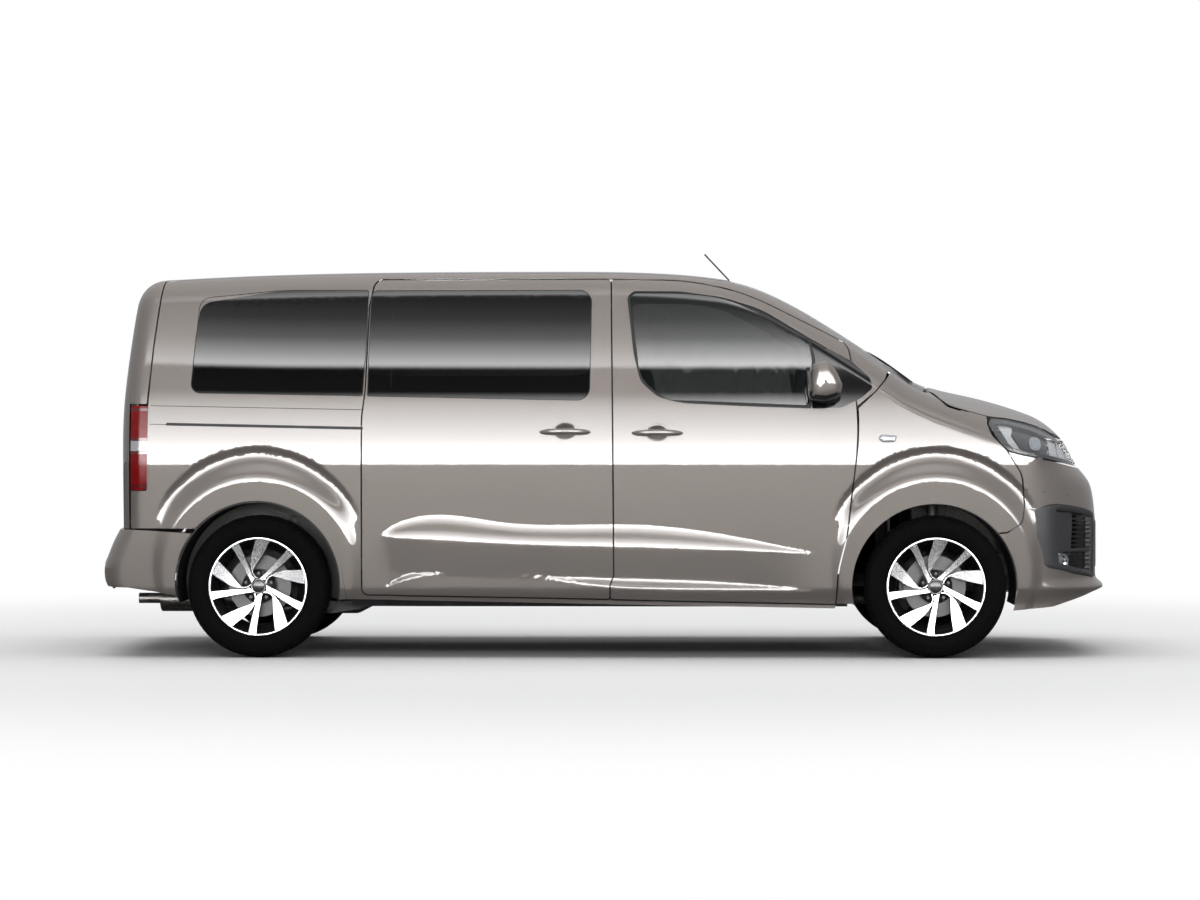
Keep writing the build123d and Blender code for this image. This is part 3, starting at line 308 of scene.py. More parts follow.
def cloth_material():
    """Woven seat cloth: two crossed thread waves under a soft sheen."""
    mat = material("seat_cloth", (0.07, 0.07, 0.078), 0.9, Sheen_Weight=0.35, Sheen_Roughness=0.5)
    weave = add_node(mat, "ShaderNodeMath", operation="MULTIPLY")
    for index, direction in enumerate(("Y", "Z")):
        wave = texture(mat, "ShaderNodeTexWave", Scale=170.0, Distortion=0.6, bands_direction=direction)
        link(mat, (wave, "Fac", weave, index))
    return vary(mat, weave, 0, (0.035, 0.035, 0.04), (0.11, 0.11, 0.12), 0.5, None, (0.0, 1.0))


def glass(name, tint_and_painted_shade, through, polish):
    """A pane: mostly a dark tint, partly clear, with a polished face. On the privacy glass the tint is its own; on
    the clear glass the near-black tint is painted shade of the cabin behind it.
    """
    low, high = (tuple(c * share for c in tint_and_painted_shade) for share in (0.85, 1.15))
    return grained(name, tint_and_painted_shade, 0.0, 0.0, 3.0, low, high, IOR=1.62, Alpha=1 - through, Specular_IOR_Level=0.6,
                   Coat_Weight=1.0, Coat_Roughness=0.0, Coat_IOR=polish)


# Name, colour, roughness, metallic, grain scale, darkest and lightest grain, relief, least and most roughness.
grain_table = (
    ("black_plastic", (0.02, 0.02, 0.021), 0.45, 0, 900, (0.014, 0.014, 0.015), (0.026, 0.026, 0.028), 0.25,
     (0.38, 0.56)),
    ("chassis_black", (0.018, 0.018, 0.019), 0.5, 0, 60, (0.012, 0.012, 0.013), (0.035, 0.033, 0.03), 0.3,
     (0.4, 0.7)),
    ("steel", (0.33, 0.32, 0.31), 0.38, 0.9, 45, (0.22, 0.2, 0.18), (0.4, 0.39, 0.38), 0.15, (0.3, 0.55)),
    ("iron", (0.14, 0.135, 0.13), 0.65, 0.7, 180, (0.09, 0.085, 0.08), (0.2, 0.19, 0.18), 0.5, (0.5, 0.8)),
    ("floor_trim", (0.05, 0.05, 0.052), 0.85, 0, 420, (0.03, 0.03, 0.032), (0.075, 0.075, 0.08), 0.5),
    ("trim_dark", (0.045, 0.045, 0.05), 0.62, 0, 700, (0.035, 0.035, 0.038), (0.06, 0.06, 0.065), 0.35, (0.55, 0.72)),
    ("brake_steel", (0.06, 0.06, 0.062), 0.5, 0.8, 350, (0.045, 0.045, 0.046), (0.08, 0.08, 0.082), 0.2, (0.3, 0.45)),
    ("lamp_chrome", (0.85, 0.86, 0.88), 0.12, 1, 40, (0.8, 0.81, 0.83), (0.9, 0.9, 0.92)),
    ("bezel_grey", (0.09, 0.09, 0.095), 0.5, 0.2, 500, (0.075, 0.075, 0.08), (0.105, 0.105, 0.11), 0.1, (0.44, 0.56)),
    # The black rubber below is real on the seals, and is also drawn as painted shade in panel gaps, seams, the roof
    # ditch and the rail slot.
    ("rubber_and_painted_gap_shade", (0.012, 0.012, 0.013), 0.55, 0, 700, (0.009, 0.009, 0.01), (0.018, 0.018, 0.019), 0.3, (0.45, 0.65)),
    ("mirror_face", (0.85, 0.87, 0.88), 0.02, 1, 8, (0.82, 0.84, 0.85), (0.88, 0.9, 0.91)),
    ("plate_blank", (0.75, 0.75, 0.74), 0.35, 0, 200, (0.7, 0.7, 0.69), (0.8, 0.8, 0.79), 0.05, (0.3, 0.4)),
)
materials = {row[0]: grained(*row) for row in grain_table} | {
    "body_paint": paint_material(),
    "seat_cloth": cloth_material(),
    "dark_glass": glass("dark_glass", (0.006, 0.006, 0.007), 0.12, 1.7),
    # The clear glass's near-black, mostly opaque tint is painted shade of the cabin behind it.
    "clear_glass": glass("clear_glass", (0.012, 0.017, 0.017), 0.38, 2.2),
    "alloy": grained(
        "alloy", (0.72, 0.72, 0.73), 0.24, 0.85, 260.0, (0.62, 0.62, 0.63), (0.8, 0.8, 0.81), 0.12, (0.2, 0.32), 3.0,
        0.0004, Coat_Weight=0.6, Coat_Roughness=0.06,
    ),
    "grille_black": grained(
        "grille_black", (0.02, 0.02, 0.022), 0.3, 0, 600, (0.014, 0.014, 0.016), (0.03, 0.03, 0.034), 0.12,
        (0.26, 0.4), Coat_Weight=0.4, Coat_Roughness=0.15,
    ),
    "wheel_leather": grained(
        "wheel_leather", (0.02, 0.02, 0.021), 0.5, 0, 500, (0.015, 0.015, 0.016), (0.028, 0.028, 0.03), 0.5,
        (0.42, 0.6), Coat_Weight=0.1,
    ),
    "tyre": grained(
        "tyre", (0.01, 0.01, 0.011), 0.85, 0, 240, (0.006, 0.006, 0.007), (0.014, 0.014, 0.015), 0.35, (0.68, 0.88),
        Specular_IOR_Level=0.05,
    ),
    "headlamp": grained(
        "headlamp", (0.9, 0.93, 0.96), 0.0, 0, 5, (0.86, 0.9, 0.93), (0.95, 0.97, 1.0), IOR=1.5, Alpha=0.16,
        Coat_Weight=1.0, Coat_Roughness=0.0,
    ),
    "tail_lamp": grained(
        "tail_lamp", (0.4, 0.008, 0.01), 0.12, 0, 30, (0.34, 0.005, 0.008), (0.5, 0.014, 0.016), Coat_Weight=0.2,
        Specular_IOR_Level=0.2,
    ),
}
paint, black, rubber_and_painted_gap_shade = materials["body_paint"], materials["black_plastic"], materials["rubber_and_painted_gap_shade"]
chrome, satin_grey, trim_dark = materials["lamp_chrome"], materials["bezel_grey"], materials["trim_dark"]
tail_red = materials["tail_lamp"]
wheel_pocket = grained(
    "wheel_pocket", (0.02, 0.02, 0.022), 0.28, 0.3, 300, (0.015, 0.015, 0.016), (0.028, 0.028, 0.03), 0.1,
    (0.24, 0.36), Coat_Weight=0.6, Coat_Roughness=0.08,
)
lens_white = grained(
    "lens_white", (0.8, 0.83, 0.86), 0.12, 0, 90, (0.7, 0.73, 0.76), (0.9, 0.92, 0.95), 0.2, Coat_Weight=1.0
)
lens_clear = grained(
    "lens_clear", (0.35, 0.38, 0.42), 0.02, 0, 60, (0.25, 0.28, 0.32), (0.45, 0.5, 0.55), IOR=1.9, Coat_Weight=1.0,
    Coat_Roughness=0.0,
)
satin_black = grained(
    "satin_black", (0.016, 0.016, 0.018), 0.25, 0, 300, (0.012, 0.012, 0.013), (0.022, 0.022, 0.024), 0.05,
    (0.2, 0.32), Coat_Weight=0.5,
)
red_dark = grained(
    "lamp_red_dark", (0.2, 0.004, 0.006), 0.1, 0, 200, (0.16, 0.003, 0.005), (0.26, 0.006, 0.008), Coat_Weight=1.0
)
gloss_black = grained(
    "gloss_black", (0.008, 0.008, 0.009), 0.08, 0, 300, (0.006, 0.006, 0.007), (0.011, 0.011, 0.012), 0.02,
    (0.06, 0.12), Coat_Weight=1.0, Coat_Roughness=0.02,
)
seat_insert = grained(
    "seat_insert", (0.12, 0.12, 0.13), 0.85, 0, 900, (0.08, 0.08, 0.088), (0.17, 0.17, 0.18), 0.6, Sheen_Weight=0.3
)


# ---------------------------------------------------------------- mesh helpers
def put(name, verts, faces, mats, body, slot, face_mats=None, normals=None, smooth=True):
    """A new piece from points in mm, riding on a CAD body."""
    mesh = bpy.data.meshes.new(name)
    mesh.from_pydata((np.asarray(verts, float) * 0.001).tolist(), [], [list(map(int, f)) for f in faces])
    for mat in mats if isinstance(mats, (list, tuple)) else [mats]:
        mesh.materials.append(mat)
    if face_mats is not None:
        mesh.polygons.foreach_set("material_index", np.asarray(face_mats, np.int32))
    mesh.polygons.foreach_set("use_smooth", np.full(len(mesh.polygons), smooth))
    mesh.update()
    if normals is not None:
        mesh.normals_split_custom_set(normals)
    piece = bpy.data.objects.new(name, mesh)
    scene.collection.objects.link(piece)
    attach(piece, body)
    return piece


def crisp(piece, angle):
    """Smooth faces with hard edges where the surface turns more than angle degrees."""
    mesh = piece.data
    work = bmesh.new()
    work.from_mesh(mesh)
    bmesh.ops.recalc_face_normals(work, faces=work.faces)
    for edge in work.edges:
        turned = len(edge.link_faces) == 2 and edge.calc_face_angle(0) > math.radians(angle)
        edge.smooth = not turned
    for face in work.faces:
        face.smooth = True
    work.to_mesh(mesh)
    work.free()
    return piece


def sheet_grid(points, closed_u=False, closed_v=False):
    """Quads over a grid of points shaped (rows, columns, 3)."""
    rows, columns = points.shape[:2]
    faces = []
    for i in range(rows - (0 if closed_u else 1)):
        for j in range(columns - (0 if closed_v else 1)):
            a, b = (i + 1) % rows, (j + 1) % columns
            faces.append((i * columns + j, a * columns + j, a * columns + b, i * columns + b))
    return points.reshape(-1, 3), faces


def skin(name, rows, mat, body, slot, angle=50, closed="v"):
    """A piece over rows of points, closed along its rows (v), its columns (u) or neither. Without an angle it stays
    smooth all over."""
    verts, faces = sheet_grid(np.array(rows), closed == "u", closed == "v")
    piece = put(name, verts, faces, mat, body, slot)
    return crisp(piece, angle) if angle else piece


def around(count):
    """Angles spread evenly over a full turn."""
    return np.linspace(0, 2 * math.pi, count, endpoint=False)


def oval(a, b, half_a, half_b, count):
    """The two coordinates of points round an ellipse."""
    turn = around(count)
    return a + half_a * np.cos(turn), b + half_b * np.sin(turn)


def lathe(profile, centre, side, segments):
    """A grid of revolution round a wheel's axle; profile is (radius, outward) pairs, side is 1 left or -1 right."""
    turn = around(segments)
    radius, out = np.array(profile, float).T
    return np.stack([
        centre[0] + np.cos(turn)[:, None] * radius,
        np.full((segments, len(radius)), centre[1]) + side * out,
        centre[2] + np.sin(turn)[:, None] * radius,
    ], -1)


def rounded(points, steps=6):
    """A closed outline through (a, b, corner radius), its corners as short chords."""
    count, line = len(points), []
    for i, (a, b, radius) in enumerate(points):
        here = np.array((a, b), float)
        back = np.array(points[i - 1][:2], float) - here
        on = np.array(points[(i + 1) % count][:2], float) - here
        back, on = back / np.linalg.norm(back), on / np.linalg.norm(on)
        half = math.acos(float(np.clip(back @ on, -1, 1))) / 2
        if radius == 0 or math.pi / 2 - half < 0.002:
            line.append(here)
            continue
        length = radius / math.tan(half)
        first, last = here + back * length, here + on * length
        middle = here + (back + on) / np.linalg.norm(back + on) * radius / math.sin(half)
        start = math.atan2(*(first - middle)[::-1])
        sweep = (math.atan2(*(last - middle)[::-1]) - start + math.pi) % (2 * math.pi) - math.pi
        for share in np.linspace(0, 1, max(2, min(24, round(steps * abs(sweep) / 1.2) + 1))):
            angle = start + sweep * share
            line.append(middle + radius * np.array((math.cos(angle), math.sin(angle))))
    return np.array(line)


def even(half, top, low, radius, low_half=None, low_radius=None):
    """A rounded outline between two heights, symmetrical about the middle."""
    low_half, low_radius = low_half or half, low_radius or radius
    return rounded([
        (-half, top, radius), (half, top, radius), (low_half, low, low_radius), (-low_half, low, low_radius),
    ])


def resample(line, step, closed=True):
    """The outline's points, no further apart than step."""
    result = []
    count = len(line)
    for i in range(count if closed else count - 1):
        a, b = line[i], line[(i + 1) % count]
        pieces = max(1, math.ceil(float(np.linalg.norm(b - a)) / step))
        for k in range(pieces):
            result.append(a + (b - a) * k / pieces)
    if not closed:
        result.append(line[-1])
    return np.array(result)


def grown(line, amount):
    """An outline moved outward by amount along its corner normals."""
    area = 0.5 * np.sum(line[:, 0] * np.roll(line[:, 1], -1) - np.roll(line[:, 0], -1) * line[:, 1])
    turn = 1 if area > 0 else -1
    edge = np.roll(line, -1, 0) - line
    edge /= np.maximum(np.linalg.norm(edge, axis=1, keepdims=True), 1e-9)
    normal = turn * np.stack([edge[:, 1], -edge[:, 0]], -1)
    corner = normal + np.roll(normal, 1, 0)
    corner /= np.maximum(np.linalg.norm(corner, axis=1, keepdims=True), 1e-9)
    lift = 1 / np.maximum(np.sum(corner * normal, axis=1), 0.5)
    return line + corner * amount * lift[:, None]


def mirrored(points, side):
    """The points as they are where side is 1, and their mirror image where it is -1."""
    points = np.array(points, float)
    points[..., 1] *= side
    return points


def on_side(side):
    """A placer for rim and fill_outline: lays x and z on one flank."""
    return lambda x, z, inset=0.0: side_points(x, z, side, inset)


def on_tail(tail):
    """A placer that lays y and z on the tail."""
    return lambda y, z, inset=0.0: back_points(y, z, inset, tail)


def on_nose(y, z, inset=0.0):
    """A placer: lays y and z on the nose, whose halves mirror each other exactly."""
    return mirrored(front_points(np.abs(y), z, inset), np.sign(np.asarray(y) + 1e-9))


def rim(name, line, profile, place, mat, body, slot, angle=50, step=12):
    """A strip swept round an outline; profile is (outward, height) pairs, height standing off the body."""
    line = resample(line, step)
    return skin(name, [place(*grown(line, out).T, -height) for out, height in profile], mat, body, slot, angle)


def fill_outline(name, line, place, inset, mat, body, slot, side=1, step=14, exact=False):
    """A patch inside an outline, meshed finely and laid on the body by place. exact shades it as the body itself."""
    edge = resample(np.array(line), step)
    low, high = edge.min(0), edge.max(0)
    gx, gy = np.meshgrid(np.arange(low[0] + step / 2, high[0], step), np.arange(low[1] + step / 2, high[1], step))
    inside = np.stack([gx.ravel(), gy.ravel()], -1)
    points = [Vector(p) for p in np.concatenate([edge, inside])]
    ring = [(i, (i + 1) % len(edge)) for i in range(len(edge))]
    verts, _, faces, *_ = delaunay_2d_cdt(points, ring, [list(range(len(edge)))], 1, 1e-4)
    flat = np.array([tuple(v) for v in verts])
    spots = place(flat[:, 0], flat[:, 1], inset)
    piece = put(name, mirrored(spots, side), faces, mat, body, slot)
    if exact:
        facing = mirrored(outward(spots, reach=1.2), side)
        if np.dot(tuple(piece.data.polygons[0].normal), facing[faces[0][0]]) < 0:
            piece.data.flip_normals()
        piece.data.normals_split_custom_set_from_vertices(facing.tolist())
    return piece


def split_long(points, tris, limit, chosen, carried):
    """Splits the edges of the chosen triangles until none is longer than limit. carried is a flag for each triangle
    that its parts keep."""
    most_rounds = 9
    # The parts of a triangle, by which of its edges are cut: ab counts 1, bc 2 and ca 4.
    table = {
        case: [part.split() for part in parts.split(",")] for case, parts in {
            0: "a b c", 1: "a ab c,ab b c", 2: "a b bc,a bc c", 4: "a b ca,b c ca", 3: "a ab c,ab bc c,ab b bc",
            6: "a b ca,b bc ca,bc c ca", 5: "a ab ca,ab b c,ab c ca", 7: "a ab ca,ab b bc,ca bc c,ab bc ca",
        }.items()
    }
    for _ in range(most_rounds):
        edges = np.sort(np.concatenate([tris[:, [0, 1]], tris[:, [1, 2]], tris[:, [2, 0]]]), axis=1)
        long = np.linalg.norm(points[edges[:, 0]] - points[edges[:, 1]], axis=1) > limit
        wanted = long & np.tile(chosen, 3)
        if not wanted.any():
            break
        key = edges[:, 0].astype(np.int64) * len(points) + edges[:, 1]
        cut_keys = np.unique(key[wanted])
        at = np.searchsorted(cut_keys, key)
        hit = (at < len(cut_keys)) & (cut_keys[np.minimum(at, len(cut_keys) - 1)] == key)
        ab, bc, ca = np.where(hit, len(points) + at, -1).reshape(3, -1)
        ends = np.stack([cut_keys // len(points), cut_keys % len(points)], 1)
        points = np.concatenate([points, points[ends].mean(axis=1)])
        cases = (ab >= 0).astype(int) + 2 * (bc >= 0) + 4 * (ca >= 0)
        names = dict(zip(("a", "b", "c", "ab", "bc", "ca"), (*tris.T, ab, bc, ca)))
        out, keep, flags = [], [], []
        for case, parts in table.items():
            rows = cases == case
            for part in parts:
                out.append(np.stack([names[k][rows] for k in part], 1))
                keep.append(chosen[rows])
                flags.append(carried[rows])
        tris, chosen, carried = np.concatenate(out), np.concatenate(keep), np.concatenate(flags)
    return points, tris, carried


# Finger cups behind the door handles: centre x, z, half length, half height, depth.
cups = ((-191, 1097, 58, 40, 17), (254, 1087, 58, 40, 17))


def cup_depth(x, z):
    """How deep the finger cups are at x and z."""
    total = 0 * x
    for cx, cz, half_x, half_z, deep in cups:
        r = np.hypot((x - cx) / half_x, (z - cz) / half_z)
        total = total + deep * (1 - ramp(r, 0.15, 1.0))
    return total


def dent(p):
    """How far the outer face is sunk at points p, and how that changes along x and z."""
    flank_from_y, reach = 780, 0.5
    x, z = p[:, 0], p[:, 2]
    on_flank = np.abs(p[:, 1]) > flank_from_y
    along_x = (cup_depth(x + reach, z) - cup_depth(x - reach, z)) * on_flank
    along_z = (cup_depth(x, z + reach) - cup_depth(x, z - reach)) * on_flank
    return cup_depth(x, z) * on_flank, np.stack([along_x, 0 * x, along_z], -1)


def triangle_normals(points, tris):
    """Each triangle's normal, as long as twice its area."""
    return np.cross(points[tris[:, 1]] - points[tris[:, 0]], points[tris[:, 2]] - points[tris[:, 0]])


def refine(node, mat, slot, limit=22.0, inset=0.0, tail=tail_line, more_mats=(), choose=None, dented=False):
    """Stands for a CAD panel: the same outline, its outer face drawn finely on the body's exact surface."""
    # Vertices nearer the body than this belong to the outer face, three times this below the belt line.
    near, belt_height = 3.6, 1195
    least_facing, farthest_move, welds_per_mm = 0.6, 9, 50
    cup_limit, cup_margin = 5.0, 12
    source = nodes[node].data
    source.calc_loop_triangles()
    co = np.zeros(len(source.vertices) * 3)
    source.vertices.foreach_get("co", co)
    co = co.reshape(-1, 3) * 1000
    tris = np.zeros(len(source.loop_triangles) * 3, np.int64)
    source.loop_triangles.foreach_get("vertices", tris)
    cells = np.round(co * welds_per_mm).astype(np.int64)
    _, first, inverse = np.unique(cells, axis=0, return_index=True, return_inverse=True)
    points, tris = co[first], inverse.reshape(-1)[tris].reshape(-1, 3)
    tris = tris[(tris[:, 0] != tris[:, 1]) & (tris[:, 1] != tris[:, 2]) & (tris[:, 0] != tris[:, 2])]
    gradient = slope(points, inset, tail)
    size = np.maximum(np.linalg.norm(gradient, axis=1), 1e-9)
    gap = (fullness(*points.T, inset, tail) - 1) / size
    close = np.abs(gap) < np.where(points[:, 2] < belt_height, 3 * near, near)
    normal = triangle_normals(points, tris)
    normal /= np.maximum(np.linalg.norm(normal, axis=1, keepdims=True), 1e-9)
    facing = np.sum(normal * (gradient / size[:, None])[tris].mean(axis=1), axis=1) > least_facing
    outer = close[tris].all(axis=1) & facing
    points, tris, outer = split_long(points, tris, limit, outer, outer)
    if dented:
        centre = points[tris].mean(axis=1)
        near_cup = np.zeros(len(tris), bool)
        for cx, cz, half_x, half_z, _ in cups:
            along = (centre[:, 0] - cx) / (half_x + cup_margin)
            near_cup |= np.hypot(along, (centre[:, 2] - cz) / (half_z + cup_margin)) < 1
        points, tris, outer = split_long(points, tris, cup_limit, outer & near_cup, outer)
    moved = np.unique(tris[outer])
    p = points[moved]
    for _ in range(3):
        g = slope(p, inset, tail)
        p = p - ((fullness(*p.T, inset, tail) - 1) / np.maximum((g**2).sum(axis=1), 1e-12))[:, None] * g
    travel = np.linalg.norm(p - points[moved], axis=1)
    p = np.where((travel < farthest_move)[:, None], p, points[moved])
    points[moved] = p
    vertex_normal = np.zeros_like(points)
    normal = outward(p, inset, tail, 1.2)
    if dented:
        sunk, change = dent(p)
        points[moved] = p - normal * sunk[:, None]
        normal = normal + change
        normal /= np.linalg.norm(normal, axis=1, keepdims=True)
    vertex_normal[moved] = normal
    flat = triangle_normals(points, tris)
    size = np.linalg.norm(flat, axis=1)
    solid = size > 1e-4
    tris, outer, flat = tris[solid], outer[solid], flat[solid] / size[solid][:, None]
    normals = np.repeat(flat[:, None], 3, 1)
    normals[outer] = vertex_normal[tris[outer]]
    face_mats = choose(points[tris].mean(axis=1)) if choose else None
    piece = put(
        f"{node}_look", points, tris, [mat, *more_mats], body_of_node[node], slot, face_mats, normals.reshape(-1, 3)
    )
    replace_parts(piece, node)
    return piece


# ---------------------------------------------------------------- panels and panes
for piece in nodes.values():
    for index, mat in enumerate(piece.data.materials):
        plain = mat.name.split(".")[0]
        if plain in materials:
            piece.data.materials[index] = materials[plain]

for name in ("side_panel_left", "side_panel_right", "front_wings", "roof_panel", "hood", "front_bumper", "tailgate"):
    refine(name, paint, "body_paint")
for name in ("sliding_doors", "front_door_left", "front_door_right"):
    refine(name, paint, "body_paint", dented=True)
refine("rear_bumper", paint, "body_paint", tail=bumper_tail_line)
for name in ("quarter_glass", "sliding_glass", "rear_window"):
    refine(name, materials["dark_glass"], "dark_glass", 40.0)
for name in ("door_glass_left", "door_glass_right"):
    refine(name, materials["clear_glass"], "clear_glass", 40.0)
refine("windscreen", materials["clear_glass"], "clear_glass", 40.0, inset=3.0)


# ---------------------------------------------------------------- wheels
tyre_half_profile = (
    (239.5, 94), (243, 96.5), (249, 102), (252, 104.6), (255, 105.2), (262, 108.6), (272, 111.4), (286, 112.2),
    (292, 112.0), (294, 111.2), (300, 110.6), (308, 109.8), (312, 109.2), (316, 107.4), (321, 105.2), (326, 102.4),
    (331, 98.8), (335.5, 94.2), (338, 89), (340, 81), (341, 73), (341.6, 66), (341.9, 62.5), (342.1, 61.5),
    (342.2, 54.5), (342.3, 53.5), (342.8, 44), (343.2, 34), (343.3, 26.5), (343.4, 25.5), (343.4, 18.5),
    (343.5, 17.5), (343.9, 8), (344, 0),
)
tyre_bore = ((238.6, -90), (237.5, -60), (237.5, 60), (238.6, 90))


def tyre_piece(name, x, y, side, body):
    """Tread with four grooves and siped shoulders, ribbed and stepped side walls."""
    segments, groove_middles, groove_half, groove_depth = 300, (58.0, 22.0, -22.0, -58.0), 3.6, 6.5
    shoulder_sipe_depth, middle_sipe_depth, rib_depth = 4.0, 2.2, 0.7
    tread_from, wall_to = 338, 318
    profile = np.array([*tyre_half_profile, *((r, -w) for r, w in tyre_half_profile[-2::-1]), *tyre_bore])
    radius, width = (np.repeat(profile[None, :, k], segments, 0) for k in (0, 1))
    angle = np.repeat(around(segments)[:, None], len(profile), 1)
    step = np.round(angle / (2 * math.pi) * segments).astype(int)
    depth = np.zeros_like(radius)
    for middle in groove_middles:
        depth = np.where((np.abs(width - middle) <= groove_half) & (radius > tread_from), groove_depth, depth)
    shoulder_sipe = (np.abs(width) > 64) & (radius > 324) & (step % 4 == 0)
    depth = np.where(shoulder_sipe, shoulder_sipe_depth, depth)
    middle_sipe = (np.abs(width) < 53) & (np.abs(width) > 26) & (radius > tread_from) & ((step + 2) % 5 == 0)
    depth = np.where(middle_sipe, np.maximum(depth, middle_sipe_depth), depth)
    wall_rib = (radius > 296) & (radius < 314) & (step % 2 == 0)
    depth = np.where(wall_rib, rib_depth, depth)
    sunk_radius = radius - np.where(radius > wall_to, depth, 0)
    sunk_width = width - np.sign(width) * np.where(radius <= wall_to, depth, 0)
    points = np.stack([
        x + np.cos(angle) * sunk_radius, y + side * sunk_width, tyre_radius + np.sin(angle) * sunk_radius
    ], -1)
    verts, faces = sheet_grid(points, closed_u=True, closed_v=True)
    return crisp(put(name, verts, faces, materials["tyre"], body, "tyre"), 28)


def curve_through(points, count=14):
    """Evenly spread points on a smooth line through the given ones."""
    points = np.array(points, float)
    at = np.concatenate([[0], np.cumsum(np.linalg.norm(np.diff(points, axis=0), axis=1))])
    fx, fy = smooth_line(*zip(at, points[:, 0])), smooth_line(*zip(at, points[:, 1]))
    t = np.linspace(0, at[-1], count)
    return np.stack([fx(t), fy(t)], -1)


# Each spoke's two edges from the hub outward, before it is turned to its place.
wide_spoke = (
    curve_through([(-5, 37), (-17, 43), (-26, 56), (-35, 78), (-38, 105), (-36, 140), (-26, 178), (-10.5, 232)]),
    curve_through([(-2, 41), (-12, 47), (-21, 58), (-28, 73), (-20, 92), (2, 124), (27, 163), (60, 224.5)]),
)
thin_spoke = (
    curve_through([(4, 38), (18, 50), (34, 66), (52, 84), (76, 108), (100, 134), (122, 157), (141, 183.5)]),
    curve_through([(33, 30), (40, 44), (54, 56), (72, 70), (97, 90), (124, 113), (148, 134), (172, 155.5)]),
)
bright, dark, steel = 0, 1, 2
rim_rings = (
    ([(234.5, 96), (238, 98.5), (238, 103.4), (236.5, 104), (231, 103.4), (228.5, 101), (227, 95.5), (224, 80),
      (205, 60), (188, 30), (186, -20), (198, -70), (212, -92), (226, -104), (238, -104), (238, -98), (216, -95),
      (201, -64), (194, -16), (199, 38), (216, 72), (230, 90)], [bright] * 6 + [dark] * 16),
    ([(0.5, 76), (26, 76), (30, 74.5), (31, 71), (30, 60), (0.5, 60)], [dark]),
    ([(30.5, 74.2), (33.5, 75.2), (35.5, 74.2), (36, 60), (30.5, 60)], [bright] * 3 + [dark] * 2),
    ([(34, 70), (46, 66), (70, 58), (82, 50), (84, 26), (30, 26), (30, 60)], [dark]),
)
bolt_rings = (
    ([(0.2, 70), (7.5, 70), (9.5, 68), (10, 56), (0.2, 56)], [steel]),
    ([(12.5, 66), (14.5, 67), (16, 65.5), (16.5, 54), (12.5, 54)], [dark]),
)
brake_rings = (
    ([(75, 4), (150, 4), (150, -4), (140, -6), (140, -14), (150, -16), (150, -20), (75, -20)], [steel]),
    ([(30, 26), (78, 24), (80, 4), (76, 3), (74, 20), (30, 22)], [dark]),
)


def add_spoke(parts, edges, angle, side, x, y):
    """One spoke between two edge lines, turned by angle: a bright face, bright upper edges and a dark back."""
    verts, faces, mats = parts
    base, count = len(verts), len(edges[0])
    c, s = math.cos(angle), math.sin(angle)
    left, right = (np.stack([e[:, 0] * c - e[:, 1] * s, e[:, 0] * s + e[:, 1] * c], -1) for e in edges)
    middle = (left + right) / 2
    for inset, sunk in ((1.2, 0.0), (0.0, -2.2), (2.5, None)):
        for line in (left, right):
            toward = middle - line
            size = np.maximum(np.linalg.norm(toward, axis=1, keepdims=True), 1e-6)
            moved = line + toward / size * np.minimum(inset, 0.3 * size)
            radius = np.linalg.norm(line, axis=1)
            if sunk is None:
                out = np.interp(radius, (40, 110, 180, 232), (30, 34, 44, 66))
            else:
                out = np.interp(radius, (30, 60, 100, 160, 210, 234), (74, 75, 78, 86, 95, 99.5)) + sunk
            verts.extend((x + a, y + side * o, tyre_radius + b) for (a, b), o in zip(moved, out))
    top_l, top_r, edge_l, edge_r, low_l, low_r = (base + k * count for k in range(6))
    strips = (
        (top_l, top_r, bright), (edge_l, top_l, bright), (top_r, edge_r, bright), (low_l, edge_l, dark),
        (edge_r, low_r, dark), (low_r, low_l, dark),
    )
    for i in range(count - 1):
        for a, b, mat in strips:
            faces.append((a + i, b + i, b + i + 1, a + i + 1))
            mats.append(mat)
    for end in (0, count - 1):
        faces.append(tuple(row + end for row in (top_l, edge_l, low_l, low_r, edge_r, top_r)))
        mats.append(dark)


def add_ring(parts, profile, ring_mats, centre, side, segments):
    """A closed ring round the axle; ring_mats gives each strip of its profile a material, in turn."""
    verts, faces, mats = parts
    base = len(verts)
    ring_verts, ring_faces = sheet_grid(lathe(profile, centre, side, segments), closed_u=True, closed_v=True)
    verts.extend(map(tuple, ring_verts))
    for index, face in enumerate(ring_faces):
        faces.append(tuple(base + k for k in face))
        mats.append(ring_mats[index % len(ring_mats)])


def rim_piece(name, x, y, side, body):
    """Five wide and five thin swirled spokes, barrel, bare cap, five bolts, brake disc and bell."""
    bolt_circle_radius = 63.84
    parts = ([], [], [])
    for k in range(5):
        for edges in (wide_spoke, thin_spoke):
            add_spoke(parts, edges, -k * 2 * math.pi / 5, side, x, y)
    centre = (x, y, tyre_radius)
    for profile, ring_mats in rim_rings:
        add_ring(parts, profile, ring_mats, centre, side, 120)
    for k in range(5):
        angle = math.radians(90 - 72 * k)
        bolt = (x + bolt_circle_radius * math.cos(angle), y, tyre_radius + bolt_circle_radius * math.sin(angle))
        for profile, ring_mats in bolt_rings:
            add_ring(parts, profile, ring_mats, bolt, side, 18)
    for profile, ring_mats in brake_rings:
        add_ring(parts, profile, ring_mats, centre, side, 96)
    verts, faces, mats = parts
    looks = [materials["alloy"], wheel_pocket, materials["brake_steel"]]
    return crisp(put(name, verts, faces, looks, body, "alloy", mats), 30)


for place, x, y in (("front", front_axle_x, front_wheel_y), ("rear", rear_axle_x, rear_wheel_y)):
    for side_name, side in sides:
        for node, build in ((f"tyre_{place}_{side_name}", tyre_piece), (f"rim_{place}_{side_name}", rim_piece)):
            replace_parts(build(node + "_look", x, side * y, side, f"wheel_{place}_{side_name}"), node)


